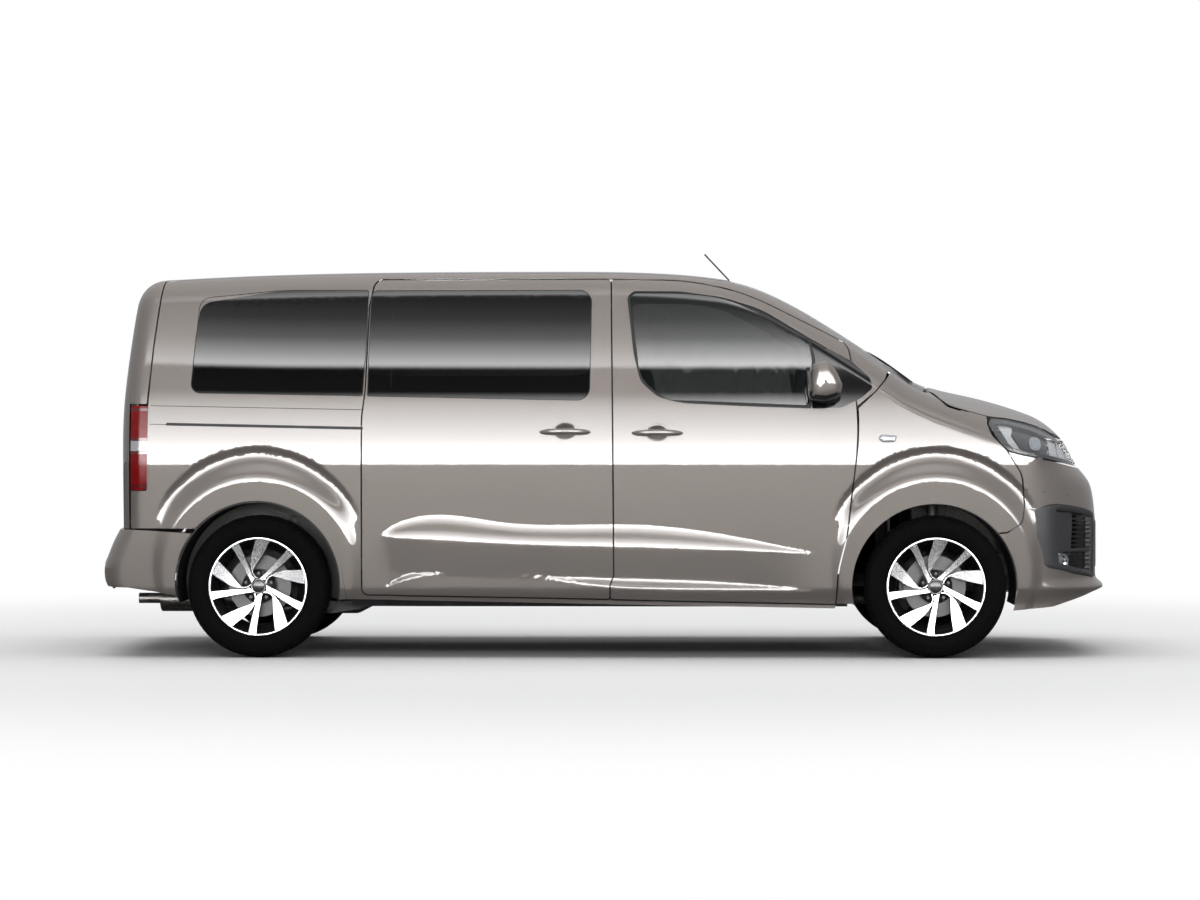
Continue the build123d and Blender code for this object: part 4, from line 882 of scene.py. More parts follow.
# ---------------------------------------------------------------- lamps, intakes and grilles
def nose_by_x(x, z, inset=0.0):
    """The left nose corner's points at x and z, none nearer the centre than the lamp's inner edge."""
    inner_edge_y = 506
    points = side_points(x, z, 1, inset)
    edge = front_points(0 * x + inner_edge_y, z, inset)
    return np.where((points[..., 1] < inner_edge_y)[..., None], edge, points)


def pair_pieces(name, build):
    """Builds a piece on the left and its mirror image on the right."""
    for side_name, side in sides:
        build(f"{name}_{side_name}", side)


def front_door(side):
    """The body that carries a side's front door."""
    return f"front_door_{'left' if side > 0 else 'right'}_leaf"


headlamp_line = rounded([
    (1851, 1130, 15), (1868, 1160, 15), (1953, 1152, 60), (2052, 1131, 200), (2150, 1098, 150), (2211, 1062, 50),
    (2262, 1047, 0), (2300, 1047, 0), (2330, 918, 0), (2267, 931, 0), (2152, 958, 200), (2000, 988, 60),
    (1950, 1002, 20), (1914, 1032, 60),
])
lamp_surround_line = rounded([
    (1858, 1128, 12), (1872, 1152, 10), (1953, 1146, 60), (2052, 1125, 200), (2150, 1092, 150), (2211, 1056, 40),
    (2262, 1040, 0), (2270, 1025, 0), (2205, 1040, 50), (2150, 1066, 100), (2050, 1104, 200), (1950, 1128, 60),
    (1890, 1130, 15), (1880, 1120, 10), (1935, 1040, 40), (1975, 1012, 30), (2150, 978, 150), (2300, 944, 0),
    (2310, 922, 0), (2267, 931, 0), (2152, 960, 200), (2000, 990, 60), (1950, 1005, 20), (1916, 1034, 60),
])
lamp_house_line = rounded([
    (1972, 1075, 22), (1985, 1110, 20), (2100, 1088, 30), (2142, 1062, 10), (2140, 985, 8), (2010, 1010, 30),
])
lamp_lens_line = rounded([(2052, 1072, 26), (2112, 1062, 26), (2108, 998, 26), (2050, 1008, 26)])
lamp_guide_line = rounded([
    (1900, 1120, 8), (1908, 1128, 6), (1960, 1118, 30), (1975, 1110, 10), (1962, 1070, 20), (2004, 1004, 30),
    (2120, 976, 60), (2116, 966, 4), (1990, 992, 40), (1945, 1042, 30),
])


def headlamp(name, side):
    """The lamp's inside: chrome bowl, black projector house with its lens, a white guide bar and the side cells."""
    def layer(part, line, inset, mat, step=8):
        fill_outline(f"{name}_{part}", line, nose_by_x, inset, mat, "body", "headlamp", side, step)

    layer("bowl", grown(headlamp_line, -3), 46, chrome, 14)
    layer("surround", lamp_surround_line, 9, satin_black, 12)
    layer("house", lamp_house_line, 24, satin_black, 10)
    layer("lens", lamp_lens_line, 17, lens_clear)
    layer("guide", lamp_guide_line, 20, lens_white)
    cells = ((2150, 2192, 1052, 968), (2198, 2240, 1030, 958), (2246, 2284, 1012, 948))
    for k, (back_x, front_x, top, low) in enumerate(cells):
        cell = rounded([(back_x, top, 8), (front_x, top - 14, 8), (front_x + 4, low - 6, 8), (back_x, low, 8)])
        layer(f"cell_{k}", cell, 18, lens_white)


pair_pieces("headlamp_inner", headlamp)
refine("headlamps", materials["headlamp"], "headlamp", 20.0)

intake_line = rounded([
    (640, 700, 30), (906, 752, 30), (902, 600, 60), (884, 438, 30), (800, 404, 60), (640, 378, 15),
])
intake_panel_line = rounded([(800, 700, 12), (868, 708, 14), (866, 560, 30), (846, 468, 14), (800, 470, 12)])
intake_bridge_line = rounded([(664, 508, 4), (860, 515, 8), (862, 530, 8), (664, 526, 4)])
intake_bezel = ((0, -18), (0, -1), (-3, 3.5), (-12, 4.5), (-26, 2.0), (-30, -3), (-31, -22))
intake_slat = ((-4.2, 20), (-4.8, 8), (-3.0, 4), (3.0, 4), (4.8, 8), (4.2, 20))
# A fog lamp's ring and lens: radius and depth below the bumper's surface.
fog_ring = ((44, 6), (41, 2), (36, 3), (34, 12))
fog_lens = ((34, 9), (24, 7), (12, 5.5), (1, 5))


def intake(name, side):
    """Satin bezel, sunk panel, slats and fog lamp in the bumper's corner."""
    def place(y, z, inset=0.0):
        return mirrored(front_points(y, z, inset), side)

    rim(name + "_bezel", grown(intake_line, -1.0), intake_bezel, place, satin_grey, "body", "grille_black")
    fill_outline(name + "_panel", intake_panel_line, front_points, 12, satin_grey, "body", "grille_black", side, 12)
    for k in range(13):
        z = 425 + 21.5 * k
        y = np.linspace(668, 792 if z > 520 else 840, 14)
        rows = [place(y, 0 * y + z + rise, inset) for rise, inset in intake_slat]
        skin(f"{name}_slat_{k}", rows, satin_black, "body", "grille_black", closed="u")
    fill_outline(name + "_bridge", intake_bridge_line, front_points, 5, satin_grey, "body", "grille_black", side, 10)
    for part, profile, mat in (("ring", fog_ring, chrome), ("lens", fog_lens, lens_clear)):
        rows = [place(*oval(848, 462, radius * 0.62, radius, 40), inset) for radius, inset in profile]
        skin(f"{name}_fog_{part}", rows, mat, "body", "headlamp")


def slat_across(name, z, half, inset, tall, mat):
    """A slat across the nose from side to side."""
    y = np.linspace(-half, half, 61)
    profile = ((-tall, 26), (-tall, 6), (-0.6 * tall, 0), (0.6 * tall, 0), (tall, 6), (tall, 26))
    rows = [on_nose(y, 0 * y + z + rise, inset + deep) for rise, deep in profile]
    skin(name, rows, mat, "body", "grille_black", closed="u")


pair_pieces("intake", intake)
for k, z in enumerate((956, 990, 1024)):
    slat_across(f"grille_slat_{k}", z, 492 - 4 * k, 8, 5.0, satin_black)
for k, z in enumerate((973, 1007)):
    slat_across(f"grille_bar_{k}", z, 494 - 4 * k, 3, 5.5, chrome)


def lamp_split(centres):
    """Clear white band in the middle of a tail lamp, darker red rims round its cells."""
    z = centres[:, 2]
    result = np.zeros(len(z), int)
    result[(z > 1000) & (z < 1048)] = 1
    for line_z in (992, 1056, 830, 1200):
        result[np.abs(z - line_z) < 7] = 2
    return result


refine("tail_lamps", tail_red, "tail_lamp", 7.0, more_mats=(lens_white, red_dark), choose=lamp_split)


# ---------------------------------------------------------------- window seals, rails and repeaters
def side_patch(name, line, height, mat, body, slot, side, step=12):
    """A thin patch standing height off the side's surface."""
    fill_outline(name, line, on_side(1), -height, mat, body, slot, side, step)


front_window_line = rounded([
    (118, 1765, 35), (575, 1763, 700), (986, 1530, 20), (1003, 1440, 60), (988, 1220, 18), (300, 1247, 120),
    (172, 1345, 160),
])
window_seal_line = rounded([
    (108, 1748, 20), (140, 1776, 26), (366, 1774, 200), (575, 1745, 300), (758, 1687, 300), (984, 1550, 200),
    (1191, 1434, 100), (1290, 1352, 20), (1302, 1300, 20), (1240, 1247, 100), (1142, 1206, 60), (1060, 1203, 200),
    (660, 1217, 400), (366, 1232, 200), (255, 1262, 100), (172, 1335, 90), (140, 1470, 200),
])
sail_line = rounded([
    (984, 1548, 4), (1191, 1434, 100), (1280, 1354, 16), (1291, 1303, 18), (1238, 1256, 100), (1142, 1210, 60),
    (1000, 1205, 8), (1001, 1330, 0), (1010, 1443, 0),
])
sliding_glass_line = rounded([
    (-1147, 1264, 10), (-1136, 1693, 30), (-1128, 1779, 30), (-62, 1781, 60), (-72, 1243, 62),
])
quarter_glass_line = rounded([
    (-2005, 1280, 45), (-1168, 1265, 10), (-1152, 1540, 0), (-1146, 1781, 12), (-1560, 1781, 900), (-1966, 1741, 60),
])
repeater_line = rounded([(1318, 1061, 8), (1332, 1080, 8), (1407, 1074, 6), (1398, 1045, 8), (1340, 1042, 10)])
rail_slot_line = rounded([(-2112, 1136, 3), (-1168, 1116, 0), (-1168, 1104, 0), (-2112, 1124, 3)])
rail_lip_line = rounded([(-2116, 1141, 3), (-1168, 1121, 0), (-1168, 1116.5, 0), (-2112, 1136.5, 2)])
rail_deep_line = rounded([(-2116, 1138, 4), (-1166, 1118, 0), (-1166, 1103, 0), (-2122, 1123, 3)])
bumper_seam_x, bumper_seam_z = np.array([(2031, 815), (2120, 803), (2240, 786), (2347, 770)], float).T
# The front window's seal runs from the glass (share 0) to the door's frame (share 1): share and height.
front_seal = ((1.0, -1.5), (1.0, 1.2), (0.94, 2.0), (0.1, 2.4), (0.0, 1.4), (-0.12, -3.0))
rear_seal = ((4, -3), (3.5, -0.4), (0, 0.2), (-9, -0.6), (-9.5, -4))
repeater_rim = ((1.5, -1), (1, 1.5), (-1, 3.4), (-5, 4.6), (-10, 5))


def side_trim(name, side):
    """Window seals, the sail before the door's window, the side repeater, the sliding door's rail and a seam. The
    rail's slot and the seam are black strips of painted shade.
    """
    inner, outer = resample(front_window_line, 12), resample(window_seal_line, 1.0)
    near = outer[np.argmin(((inner[:, None] - outer[None]) ** 2).sum(-1), axis=1)]
    rows = [side_points(*(inner + (near - inner) * share).T, side, -height) for share, height in front_seal]
    skin(name + "_window_seal", rows, rubber_and_painted_gap_shade, front_door(side), "black_plastic", 40)
    side_patch(name + "_sail", sail_line, 1.6, gloss_black, front_door(side), "black_plastic", side, 14)
    rim(name + "_repeater_rim", repeater_line, repeater_rim, on_side(side), lens_white, "body", "headlamp", step=6)
    side_patch(name + "_repeater", grown(repeater_line, -10), 5.0, lens_white, "body", "headlamp", side, 6)
    # Painted shade: the rail's slot drawn as a flat black patch.
    side_patch(name + "_rail_slot", rail_slot_line, 0.5, rubber_and_painted_gap_shade, "body", "black_plastic", side)
    side_patch(name + "_rail_lip", rail_lip_line, 2.4, paint, "body", "body_paint", side)
    for part, line in (("quarter", quarter_glass_line), ("sliding", sliding_glass_line)):
        rim(f"{name}_{part}_seal", line, rear_seal, on_side(side), rubber_and_painted_gap_shade, "body", "black_plastic", step=14)
    # Painted shade: the seam between bumper and wing drawn as a thin black strip.
    rows = [nose_by_x(bumper_seam_x, bumper_seam_z + rise, -0.4) for rise in (-2.4, 2.4)]
    skin(name + "_seam", mirrored(rows, side), rubber_and_painted_gap_shade, "body", "black_plastic", angle=None, closed=None)


pair_pieces("side_trim", side_trim)


# ---------------------------------------------------------------- door handles
def handle(name, side, body, x, z):
    """A slim bar with pointed ends, carried by two feet over the finger cup."""
    half_length, half_tall, half_deep, foot_reach, squareness = 125, 14.5, 8.0, 98, 2.6
    along = np.linspace(-1, 1, 33)
    taper = np.sqrt(np.clip(1 - np.abs(along) ** 3.2, 0, 1))
    base = side_points(x + along * half_length, 0 * along + z + 3 * (1 - along**2), side)
    stand = 26 * (1 - along**2) ** 0.7 + 7
    rows = []
    for turn in around(16):
        across, out = math.cos(turn), math.sin(turn)
        squared = (abs(across) ** squareness + abs(out) ** squareness) ** (-1 / squareness)
        p = base.copy()
        p[:, 2] += half_tall * squared * across * taper
        p[:, 1] += side * (stand + half_deep * squared * out * taper)
        rows.append(p)
    bar = skin(name, rows, paint, body, "body_paint", 60, "u")
    for k, foot_x in enumerate((x - foot_reach, x + foot_reach)):
        rows = [side_points(*oval(foot_x, z, 17, 8, 16), side, -height) for height in (-1, 6, 16)]
        skin(f"{name}_foot_{k}", rows, black, body, "black_plastic", angle=None)
    rows = [
        side_points(*oval(x, z + 5, 58 + out, 40 + out, 48), side, -height)
        for out, height in ((2, 0.2), (0, 0.9), (-2, 0.2))
    ]
    skin(name + "_rim", rows, paint, body, "body_paint", 60)
    return bar


for side_name, side in sides:
    bar = handle(f"front_handle_{side_name}_look", side, front_door(side), 254, 1087)
    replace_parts(bar, f"front_door_handle_{side_name}")
    bar = handle(f"sliding_handle_{side_name}_look", side, "body", -191, 1092)
    if side > 0:
        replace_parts(bar, "sliding_door_handles")


# ---------------------------------------------------------------- mirrors
mirror_line = resample(rounded([
    (1000, 1425, 30), (1068, 1440, 28), (1112, 1385, 80), (1142, 1318, 26), (1126, 1262, 30), (1060, 1240, 60),
    (985, 1246, 20), (973, 1320, 90),
]), 9)
# The cap's sections: y, share of the outline's size, and how far the section is moved back.
mirror_sections = (
    (962, 0.70, 14), (966, 0.86, 10), (976, 0.955, 4), (1000, 1.0, 0), (1040, 1.0, 0), (1068, 0.965, 0),
    (1086, 0.88, -3), (1097, 0.72, -6), (1101, 0.45, -8), (1102, 0.05, -8),
)
mirror_glass_line = resample(rounded([(0, 62, 22), (118, 66, 26), (112, -62, 26), (4, -66, 22)]), 10)
# The arm's sections: centre x, y, z, half length, half height.
mirror_arm = (
    (1075, 925, 1262, 62, 34), (1072, 950, 1262, 52, 24), (1068, 985, 1268, 50, 22), (1064, 1010, 1280, 44, 16),
)


def mirror(name, side):
    """A painted cap over a black base, with the glass facing back and an arm to the door."""
    body, centre, glass_z = front_door(side), np.array((1050, 1335)), 1332
    rows = []
    for y, size, back in mirror_sections:
        x, z = (centre + (mirror_line - centre) * size).T
        rows.append(np.stack([x - back, np.full(len(x), float(y * side)), z], -1))
    verts, faces = sheet_grid(np.array(rows), closed_v=True)
    centres = verts[np.array(faces)].mean(axis=1)
    low = centres[:, 2] < 1268 + 0.12 * (centres[:, 0] - 1000)
    cap = crisp(put(name + "_look", verts, faces, [paint, black], body, "body_paint", low.astype(int)), 60)
    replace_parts(cap, name)
    across, rise = mirror_glass_line.T
    z = glass_z + rise
    glass_edge = np.stack([974 - 0.10 * (z - glass_z), side * (976 + across), z], -1)
    middle = glass_edge.mean(axis=0)
    rows = [middle + (glass_edge + (14, 0, 0) - middle) * 1.07, middle + (glass_edge - middle) * 1.06, glass_edge]
    skin(name + "_rim", rows, black, body, "black_plastic", 40)
    face = glass_edge + (1.5, 0, 0)
    put(name + "_face", face, [range(len(face))], materials["mirror_face"], body, "alloy", smooth=False)
    c, s = np.cos(around(20)), np.sin(around(20))
    squared = (np.abs(c) ** 3 + np.abs(s) ** 3) ** (-1 / 3)
    rows = [
        np.stack([x + wide * c * squared, 0 * c + side * y, z + tall * s * squared], -1)
        for x, y, z, wide, tall in mirror_arm
    ]
    skin(name + "_arm", rows, black, body, "black_plastic", 60)


pair_pieces("mirror", mirror)


# ---------------------------------------------------------------- tail, plates and lower grille
def framed(rim_name, face_name, line, profile, cut, height, place, mat, body, slot):
    """A rim round an outline and the face inside it, cut in from the outline and standing height off the body."""
    rim(rim_name, line, profile, place, mat, body, slot, 45)
    fill_outline(face_name, grown(line, -cut), place, -height, mat, body, slot)


lid, bumper = on_tail(tail_line), on_tail(bumper_tail_line)
plate_blank = materials["plate_blank"]
plate_bay_edge = ((3, -1), (2, 1.5), (-2, 2), (-8, -0.5), (-9, -4))
plate_edge = ((1, -0.5), (1, 3.5), (-1, 4.2), (-6, 4.2), (-7, 3.0))
front_plate_edge = ((1, -0.5), (1, 6), (-1, 7), (-6, 7), (-7, 6))
grip_edge = ((2, -1), (2, 7), (0, 11), (-6, 13), (-13.5, 13))
lens_edge = ((1, -1), (1, 1.6), (-3, 3), (-6, 3.2))
rear_window_edge = ((4, -3), (3.5, -0.3), (0, 0.3), (-12, -0.6), (-13, -4))
lower_grille_edge = ((2, -6), (2, 1), (-2, 3), (-10, 3), (-14, -2), (-15, -16))
grille_edge = ((1, -4), (1, 0.8), (-2, 2), (-7, 1), (-8, -8))

for names, line, profile, cut, height, mat, slot in (
    (("plate_bay_rim", "plate_bay"), even(330, 1028, 870, 20, 312, 24), plate_bay_edge, 7, 0.3, paint, "body_paint"),
    (("plate_edge", "plate_face"), even(260, 1000, 890, 8), plate_edge, 6, 3.0, plate_blank, "alloy"),
    (("tailgate_grip", "tailgate_grip_face"), even(270, 1062, 1034, 14, 262, 12), grip_edge, 13, 13.0, paint,
     "body_paint"),
    (("high_brake_lamp", "high_brake_face"), even(150, 1800, 1784, 7), lens_edge, 5, 3.2, tail_red, "tail_lamp"),
):
    framed(*names, line, profile, cut, height, lid, mat, "tailgate_lid", slot)
rear_window_line = even(690, 1752, 1262, 90, 742, 70)
rim("rear_window_seal", rear_window_line, rear_window_edge, lid, rubber_and_painted_gap_shade, "tailgate_lid", "black_plastic", 45)
reflector_line = rounded([(560, 470, 6), (720, 470, 6), (720, 446, 6), (560, 446, 6)])
for side_name, side in sides:
    name = f"reflector_{side_name}"
    framed(
        name, name + "_face", reflector_line * (side, 1), lens_edge, 5, 3.2, bumper, tail_red, "body", "tail_lamp"
    )
insert_line = even(620, 392, 318, 20, 560)
fill_outline("bumper_insert", insert_line, bumper, -0.6, black, "body", "black_plastic", step=12)

for k in range(9):
    z = 446 + k * 24.4
    slat_across(f"lower_slat_{k}", z, 505 + (z - 430) * 0.17, 6, 5.0, satin_black)
framed(
    "front_plate_edge", "front_plate_face", even(260, 690, 580, 8), front_plate_edge, 6, 6.0, on_nose, plate_blank,
    "body", "alloy",
)
for name, line, profile, mat in (
    ("lower_grille_rim", even(560, 655, 430, 40, 520, 60), lower_grille_edge, satin_grey),
    ("grille_rim", even(496, 1046, 934, 10, 496, 20), grille_edge, satin_black),
):
    rim(name, line, profile, on_nose, mat, "body", "grille_black", 45)


# ---------------------------------------------------------------- rear arches, panel lines, roof seams, door trim
def rear_arch(name, side):
    """Closes the wheel house: a rolled lip behind the flank's edge and the inner wall behind the wheel."""
    radius, centre_z = 397.0, 360.0
    turn = np.linspace(math.radians(-14), math.radians(194), 72)
    flank = side_points(rear_axle_x + radius * np.cos(turn), centre_z + radius * np.sin(turn), side)
    lip_y = flank[:, 1] - side * 14
    rings = [(radius, lip_y), (radius - 6, lip_y), *((radius - 6, side * y) for y in (860, 620))]
    rings += [(radius - 14, side * 600), *(((radius - 14) * share, side * 598) for share in (0.75, 0.5, 0.25, 0.02))]
    across, up = np.cos(turn), np.sin(turn)
    rows = [np.stack([rear_axle_x + r * across, 0 * turn + y, centre_z + r * up], -1) for r, y in rings]
    skin(name, rows, materials["chassis_black"], "body", "chassis_black", closed=None)


def arch_foot(name, side):
    """The flank's foot between the rear arch and the sliding door."""
    turn = np.linspace(math.asin(265.4 / arch_radius), math.asin(-77 / arch_radius), 24)
    arch = [(rear_axle_x + arch_radius * math.cos(a), 360 + arch_radius * math.sin(a)) for a in turn]
    line = np.array([(-1300.0, 626.0), *arch, (-1246.0, 284.0)])
    fill_outline(name, line, on_side(1), 0.0, paint, "body", "body_paint", side, exact=True)


def side_line(name, points, side):
    """A narrow panel gap drawn on the flank as a black strip: painted shade of the gap."""
    half_gap = 1.5
    x, z = resample(np.array(points, float), 14, closed=False).T
    rows = [side_points(x, z + rise, side, -0.35) for rise in (-half_gap, half_gap)]
    skin(name, rows, rubber_and_painted_gap_shade, "body", "black_plastic", angle=None, closed=None)


def panel_lines(name, side):
    """The lines above, behind and inside the sliding door's rail slot: black strips and a patch of painted shade."""
    side_line(name + "_rail_top", [(-2196, 1219), (-1168, 1199)], side)
    side_line(name + "_rail_end", [(-2200, 1129), (-2112, 1128)], side)
    # Painted shade: a flat black patch inside the rail slot.
    side_patch(name + "_rail_deep", rail_deep_line, 0.7, rubber_and_painted_gap_shade, "body", "black_plastic", side)


def roof_seam(name, side):
    """The long ditch where the roof skin meets the side, drawn as a black strip of painted shade."""
    x = np.linspace(-2100, 560, 80)
    rows = [top_points(x, 0 * x + roof_edge + 1 + across, -0.4) for across in (-7, 7)]
    skin(name, mirrored(rows, side), rubber_and_painted_gap_shade, "body", "black_plastic", angle=None, closed=None)


def door_trim(name, side):
    """The front door's inner face: a plain moulded panel, parallel to the door's skin."""
    line = resample(rounded([
        (150, 330, 30), (1010, 340, 30), (1030, 640, 60), (1040, 1130, 40), (880, 1180, 60), (170, 1190, 30),
        (140, 700, 200),
    ]), 20)
    middle = line.mean(axis=0)
    rows = []
    for size, out in ((1.0, 0), (0.995, 8), (0.97, 12), (0.5, 14), (0.02, 14)):
        x, z = (middle + (line - middle) * size).T
        rows.append(np.stack([x, side_points(x, z, side)[:, 1] - side * (78 + out), z], -1))
    skin(name, rows, trim_dark, front_door(side), "trim_dark", 40)


for name, build in (
    ("rear_arch", rear_arch), ("arch_foot", arch_foot), ("panel_lines", panel_lines), ("roof_seam", roof_seam),
    ("door_trim", door_trim),
):
    pair_pieces(name, build)


# ---------------------------------------------------------------- seats
def power(value, exponent):
    """A power that keeps the value's sign."""
    return np.sign(value) * np.abs(value) ** exponent


def pad(name, centre, size, crown, axes, mat, channels=(), squareness=3.2, steps=(40, 40)):
    """A stuffed pad: a rounded box whose faces bulge, whose sides draw in between its corners, with channels sewn
    across its upper face. size is (width, length, thickness) along the three axes."""
    width, length, thick = size
    channel_half, channel_depth, draw_in = 7, 9.0, 0.035
    u, v, w = (np.array(axis, float) / np.linalg.norm(axis) for axis in axes)
    t, p = np.meshgrid(np.linspace(-math.pi / 2, math.pi / 2, steps[0]), around(steps[1]), indexing="ij")
    a = power(np.cos(t), 0.55) * power(np.cos(p), 2 / squareness)
    b = power(np.cos(t), 0.55) * power(np.sin(p), 2 / squareness)
    c = power(np.sin(t), 0.8)
    draw = 1 - draw_in * (1 - np.abs(a) ** 2) * np.abs(b) - draw_in * (1 - np.abs(b) ** 2) * np.abs(a)
    a, b = a * draw, b * draw
    bulge = crown * (1 - np.clip(np.abs(a), 0, 1) ** 2.2) * (1 - np.clip(np.abs(b), 0, 1) ** 2.2) * (c > 0)
    height = c * thick / 2 + bulge
    for at in channels:
        groove = np.exp(-(((b * length / 2 - at) / channel_half) ** 2)) * channel_depth
        height = height - groove * (c > 0.3)
    spots = np.array(centre, float) + a[..., None] * width / 2 * u + b[..., None] * length / 2 * v
    spots = spots + height[..., None] * w
    piece = skin(name, spots, mat, "body", "seat_cloth", 70)
    return piece


def post(name, start, finish):
    """A head restraint's round steel post."""
    radius, count = 6.0, 10
    along = (finish - start) / np.linalg.norm(finish - start)
    across = np.cross(along, (0.13, 0.31, 0.94))
    across /= np.linalg.norm(across)
    turn = around(count)[:, None]
    ring = radius * (np.cos(turn) * across + np.sin(turn) * np.cross(along, across))
    verts, faces = sheet_grid(np.array([start + ring, finish + ring]), closed_v=True)
    faces += [range(count), range(2 * count - 1, count - 1, -1)]
    crisp(put(name, verts, faces, materials["steel"], "body", "seat_cloth"), 60)


def seat(name, front_x, y, width, base_z):
    """One place: cushion, side bolsters, back with its wings and shell, head restraint on two posts. Returns the
    shell."""
    rise, lean = math.atan2(40, 460), math.atan2(120, 560)
    across, along = (0, 1, 0), (-math.cos(rise), 0, -math.sin(rise) * 0.6)
    up = (-math.sin(rise) * 0.6, 0, math.cos(rise))
    tall, out = (-math.sin(lean), 0, math.cos(lean)), (math.cos(lean), 0, math.sin(lean))
    cushion_axes, back_axes = (across, along, up), (across, tall, out)
    inner, cloth = width - 120, materials["seat_cloth"]
    bolster = {"steps": (26, 26), "squareness": 2.6}
    pad(f"{name}_cushion", (front_x - 235, y, base_z + 12), (inner, 470, 130), 16, cushion_axes, seat_insert,
        (-80, 30, 130))
    for k, sign in enumerate((-1, 1)):
        spot = (front_x - 235, y + sign * (width / 2 - 40), base_z + 18)
        pad(f"{name}_bolster_{k}", spot, (88, 485, 145), 10, cushion_axes, cloth, **bolster)
    back_x, back_z = front_x - 512, base_z + 330
    pad(f"{name}_back", (back_x, y, back_z), (inner, 560, 120), 14, back_axes, seat_insert, (-120, 0, 120))
    for k, sign in enumerate((-1, 1)):
        spot = (back_x + 14, y + sign * (width / 2 - 42), back_z)
        pad(f"{name}_wing_{k}", spot, (88, 545, 140), 8, back_axes, cloth, **bolster)
    shell = pad(f"{name}_shell", (back_x - 52, y, back_z + 4), (width - 26, 585, 60), 4,
                (across, tall, tuple(-v for v in out)), cloth, steps=(26, 30))
    head = np.array((back_x - 108, y, back_z + 396))
    pad(f"{name}_head", head, (262, 176, 96), 12, back_axes, cloth, steps=(30, 30), squareness=2.8)
    for k, sign in enumerate((-1, 1)):
        post(f"{name}_post_{k}", head + (-4, sign * 62, -150.0), head + (-6, sign * 62, -60.0))
    return shell


def seat_row(node, front_x, places, width, lift):
    """Seats side by side, each on a plinth with two recliner covers."""
    half = width / 2
    shells = [seat(f"{node}_{k}", front_x, y, width, 610 + lift) for k, y in enumerate(places)]
    box = rounded([(front_x - 500, 0, 20), (front_x - 60, 0, 30), (front_x - 70, 118, 20), (front_x - 490, 118, 20)])
    middle, count = box.mean(axis=0), len(box)
    for k, y in enumerate(places):
        rows = []
        for across, size in ((-half + 42, 0.94), (-half + 34, 1.0), (half - 34, 1.0), (half - 42, 0.94)):
            x, z = (middle + (box - middle) * size).T
            rows.append(np.stack([x, 0 * x + y + across, 440 + lift + z], -1))
        verts, faces = sheet_grid(np.array(rows), closed_v=True)
        faces += [range(count), range(4 * count - 1, 3 * count - 1, -1)]
        crisp(put(f"{node}_{k}_plinth", verts, faces, trim_dark, "body", "trim_dark"), 40)
        for tag, sign in (("r", -1), ("l", 1)):
            rows = []
            for radius, out in ((1, 4), (46, 4), (50, 0), (50, 10), (46, 14), (1, 16)):
                x, z = oval(front_x - 470, 640 + lift, radius, radius, 32)
                rows.append(np.stack([x, 0 * x + y + sign * (half - 26 + out), z], -1))
            skin(f"{node}_{k}_recliner_{tag}", rows, trim_dark, "body", "trim_dark", 40)
    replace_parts(shells[0], node)


seat_row("front_seats", 800, (400, -400), 520, 0)
seat_row("middle_seats", -120, (470, 0, -470), 450, 0)
seat_row("rear_seats", -1010, (340, 0, -340), 325, 30)


# ---------------------------------------------------------------- world, floor, lights and camera
def studio_world():
    """White to the camera and through glass, soft grey as light. Reflections see bands by elevation, but only in
    directions square to the right flank."""
    world = bpy.data.worlds.new("studio")
    scene.world = world
    world.use_nodes = True
    world.node_tree.nodes.clear()
    seen, lit, soft, banded = (
        add_node(world, "ShaderNodeBackground", Color=(*color, 1), Strength=strength) for color, strength in (
            ((1, 1, 1), 1.0), ((0.97, 0.98, 1.0), 0.34), ((0.98, 0.98, 1.0), 0.42), ((1, 1, 1), 1.0)
        )
    )
    facing, square_on = (
        add_node(
            world, "ShaderNodeMapRange", interpolation_type="SMOOTHSTEP", From_Min=low, From_Max=high, To_Min=1.0,
            To_Max=0.0,
        ) for low, high in ((-0.9, -0.3), (0.3, 0.56))
    )
    sideways, narrowed, straight = (
        add_node(world, "ShaderNodeMath", operation=kind) for kind in ("ABSOLUTE", "MULTIPLY", "MAXIMUM")
    )
    levels = ramp_node(
        world, (0.0, 16.0), (0.10, 15.0), (0.17, 9.5), (0.25, 5.6), (0.29, 3.6), (0.33, 0.05), (0.386, 0.03),
        (0.396, 4.2), (0.42, 2.5), (0.45, 0.9), (0.485, 0.3), (0.52, 0.12), (0.59, 0.25), (0.68, 2.0), (1.0, 2.4),
    )
    mirrored_light, indirect, shade = (add_node(world, "ShaderNodeMixShader") for _ in range(3))
    place, split, path, out = (
        add_node(world, "ShaderNode" + kind) for kind in ("TexCoord", "SeparateXYZ", "LightPath", "OutputWorld")
    )
    link(
        world, (place, "Generated", split, 0), (split, "Z", levels, "Fac"), (levels, "Color", banded, "Color"),
        (split, "Y", facing, "Value"), (split, "X", sideways, 0), (sideways, 0, square_on, "Value"),
        (facing, "Result", narrowed, 0), (square_on, "Result", narrowed, 1), (narrowed, 0, mirrored_light, "Fac"),
        (soft, 0, mirrored_light, 1), (banded, 0, mirrored_light, 2), (path, "Is Glossy Ray", indirect, "Fac"),
        (lit, 0, indirect, 1), (mirrored_light, 0, indirect, 2), (path, "Is Camera Ray", straight, 0),
        (path, "Is Transmission Ray", straight, 1), (straight, 0, shade, "Fac"), (indirect, 0, shade, 1),
        (seen, 0, shade, 2), (shade, 0, out, "Surface"),
    )


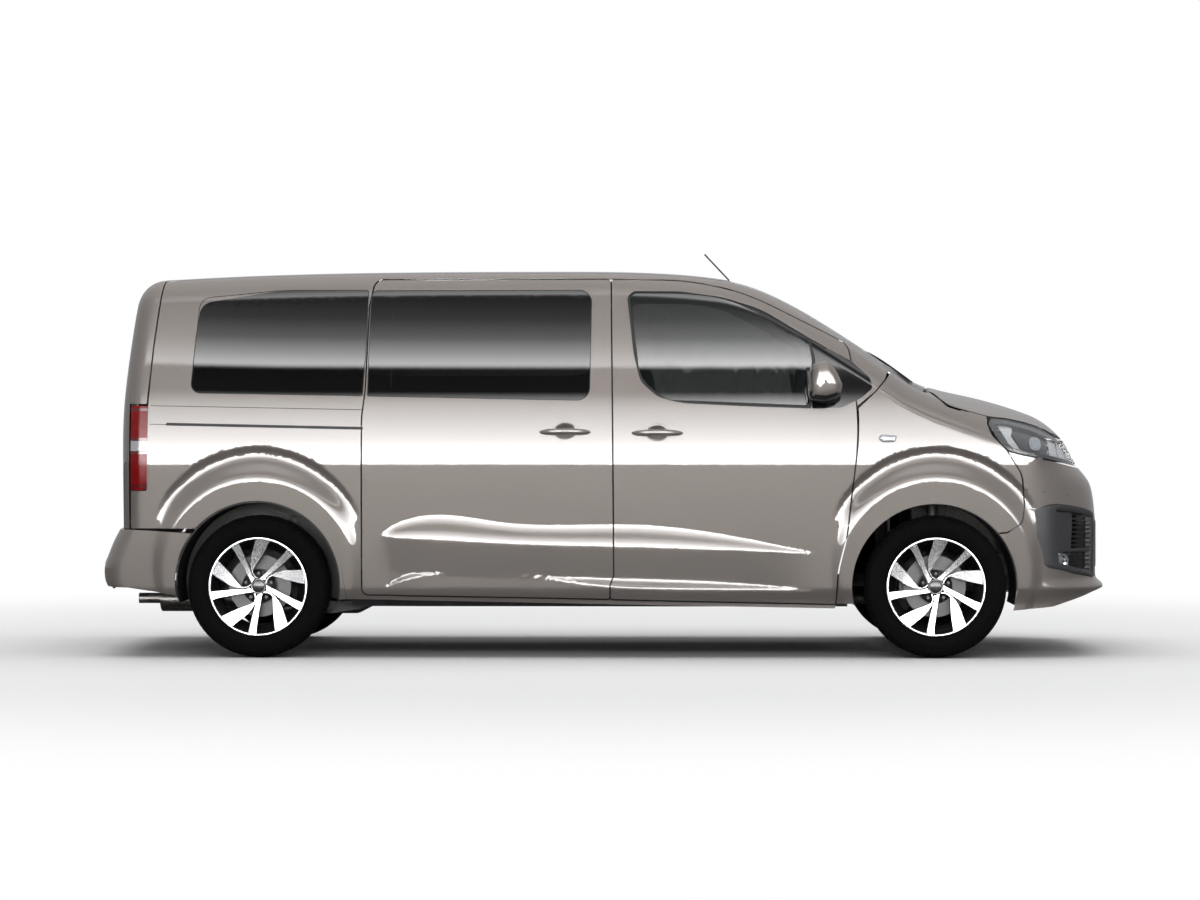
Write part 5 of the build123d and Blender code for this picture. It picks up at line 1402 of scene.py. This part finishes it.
def floor_disc():
    """A white floor that fades into the backdrop, grey to everything but the camera."""
    mat = bpy.data.materials.new("floor")
    mat.use_nodes = True
    mat.node_tree.nodes.clear()
    flat, grey = (add_node(mat, "ShaderNodeBsdfDiffuse", Color=(v, v, v, 1)) for v in (0.95, 0.2))
    gloss = add_node(mat, "ShaderNodeBsdfGlossy", Color=(1, 1, 1, 1), Roughness=0.04)
    near, faded, final = (add_node(mat, "ShaderNodeMixShader", Fac=share) for share in (0.008, 0.5, 0.5))
    far = add_node(mat, "ShaderNodeVectorMath", operation="LENGTH")
    fade = add_node(mat, "ShaderNodeMapRange", interpolation_type="SMOOTHSTEP", From_Min=2.2, From_Max=7.0)
    place, glow, path, out = (
        add_node(mat, "ShaderNode" + kind) for kind in ("TexCoord", "Emission", "LightPath", "OutputMaterial")
    )
    link(
        mat, (flat, 0, near, 1), (gloss, 0, near, 2), (place, "Object", far, 0), (far, "Value", fade, "Value"),
        (fade, "Result", faded, "Fac"), (near, 0, faded, 1), (glow, 0, faded, 2),
        (path, "Is Camera Ray", final, "Fac"), (grey, 0, final, 1), (faded, 0, final, 2), (final, 0, out, "Surface"),
    )
    radius, count = 60, 96
    mesh = bpy.data.meshes.new("floor")
    mesh.from_pydata([(radius * math.cos(a), radius * math.sin(a), 0) for a in around(count)], [], [range(count)])
    mesh.materials.append(mat)
    floor = bpy.data.objects.new("floor", mesh)
    scene.collection.objects.link(floor)


def aimed(name, data, at, aim):
    """A lamp or camera standing at one point and looking at another."""
    item = bpy.data.objects.new(name, data)
    item.location = at
    item.rotation_euler = (Vector(aim) - Vector(at)).to_track_quat("-Z", "Y").to_euler()
    scene.collection.objects.link(item)
    return item


def lights_and_camera():
    """A large lamp overhead, one along each flank, and the camera square to the right side."""
    for name, at, aim, size, power_watts in (
        ("overhead", (0, 0, 7.5), (0, 0, 0), (11, 7), 430),
        ("right_side", (0.5, -10.5, 5.2), (0, 0, 0.8), (11, 2.4), 165),
        ("left_side", (-0.5, 10.5, 5.2), (0, 0, 0.8), (11, 2.4), 165),
    ):
        data = bpy.data.lights.new(name, "AREA")
        data.energy, data.shape = power_watts, "RECTANGLE"
        data.size, data.size_y = size
        aimed(name, data, at, aim).visible_glossy = False
    data = bpy.data.cameras.new("camera")
    data.lens, data.sensor_width, data.clip_end = 110, 36, 200
    scene.camera = aimed("camera", data, (0.22, -18.6, 1.14), (-0.022, -0.92, 1.005))
    scene.view_settings.view_transform = "Standard"


studio_world()
floor_disc()
lights_and_camera()
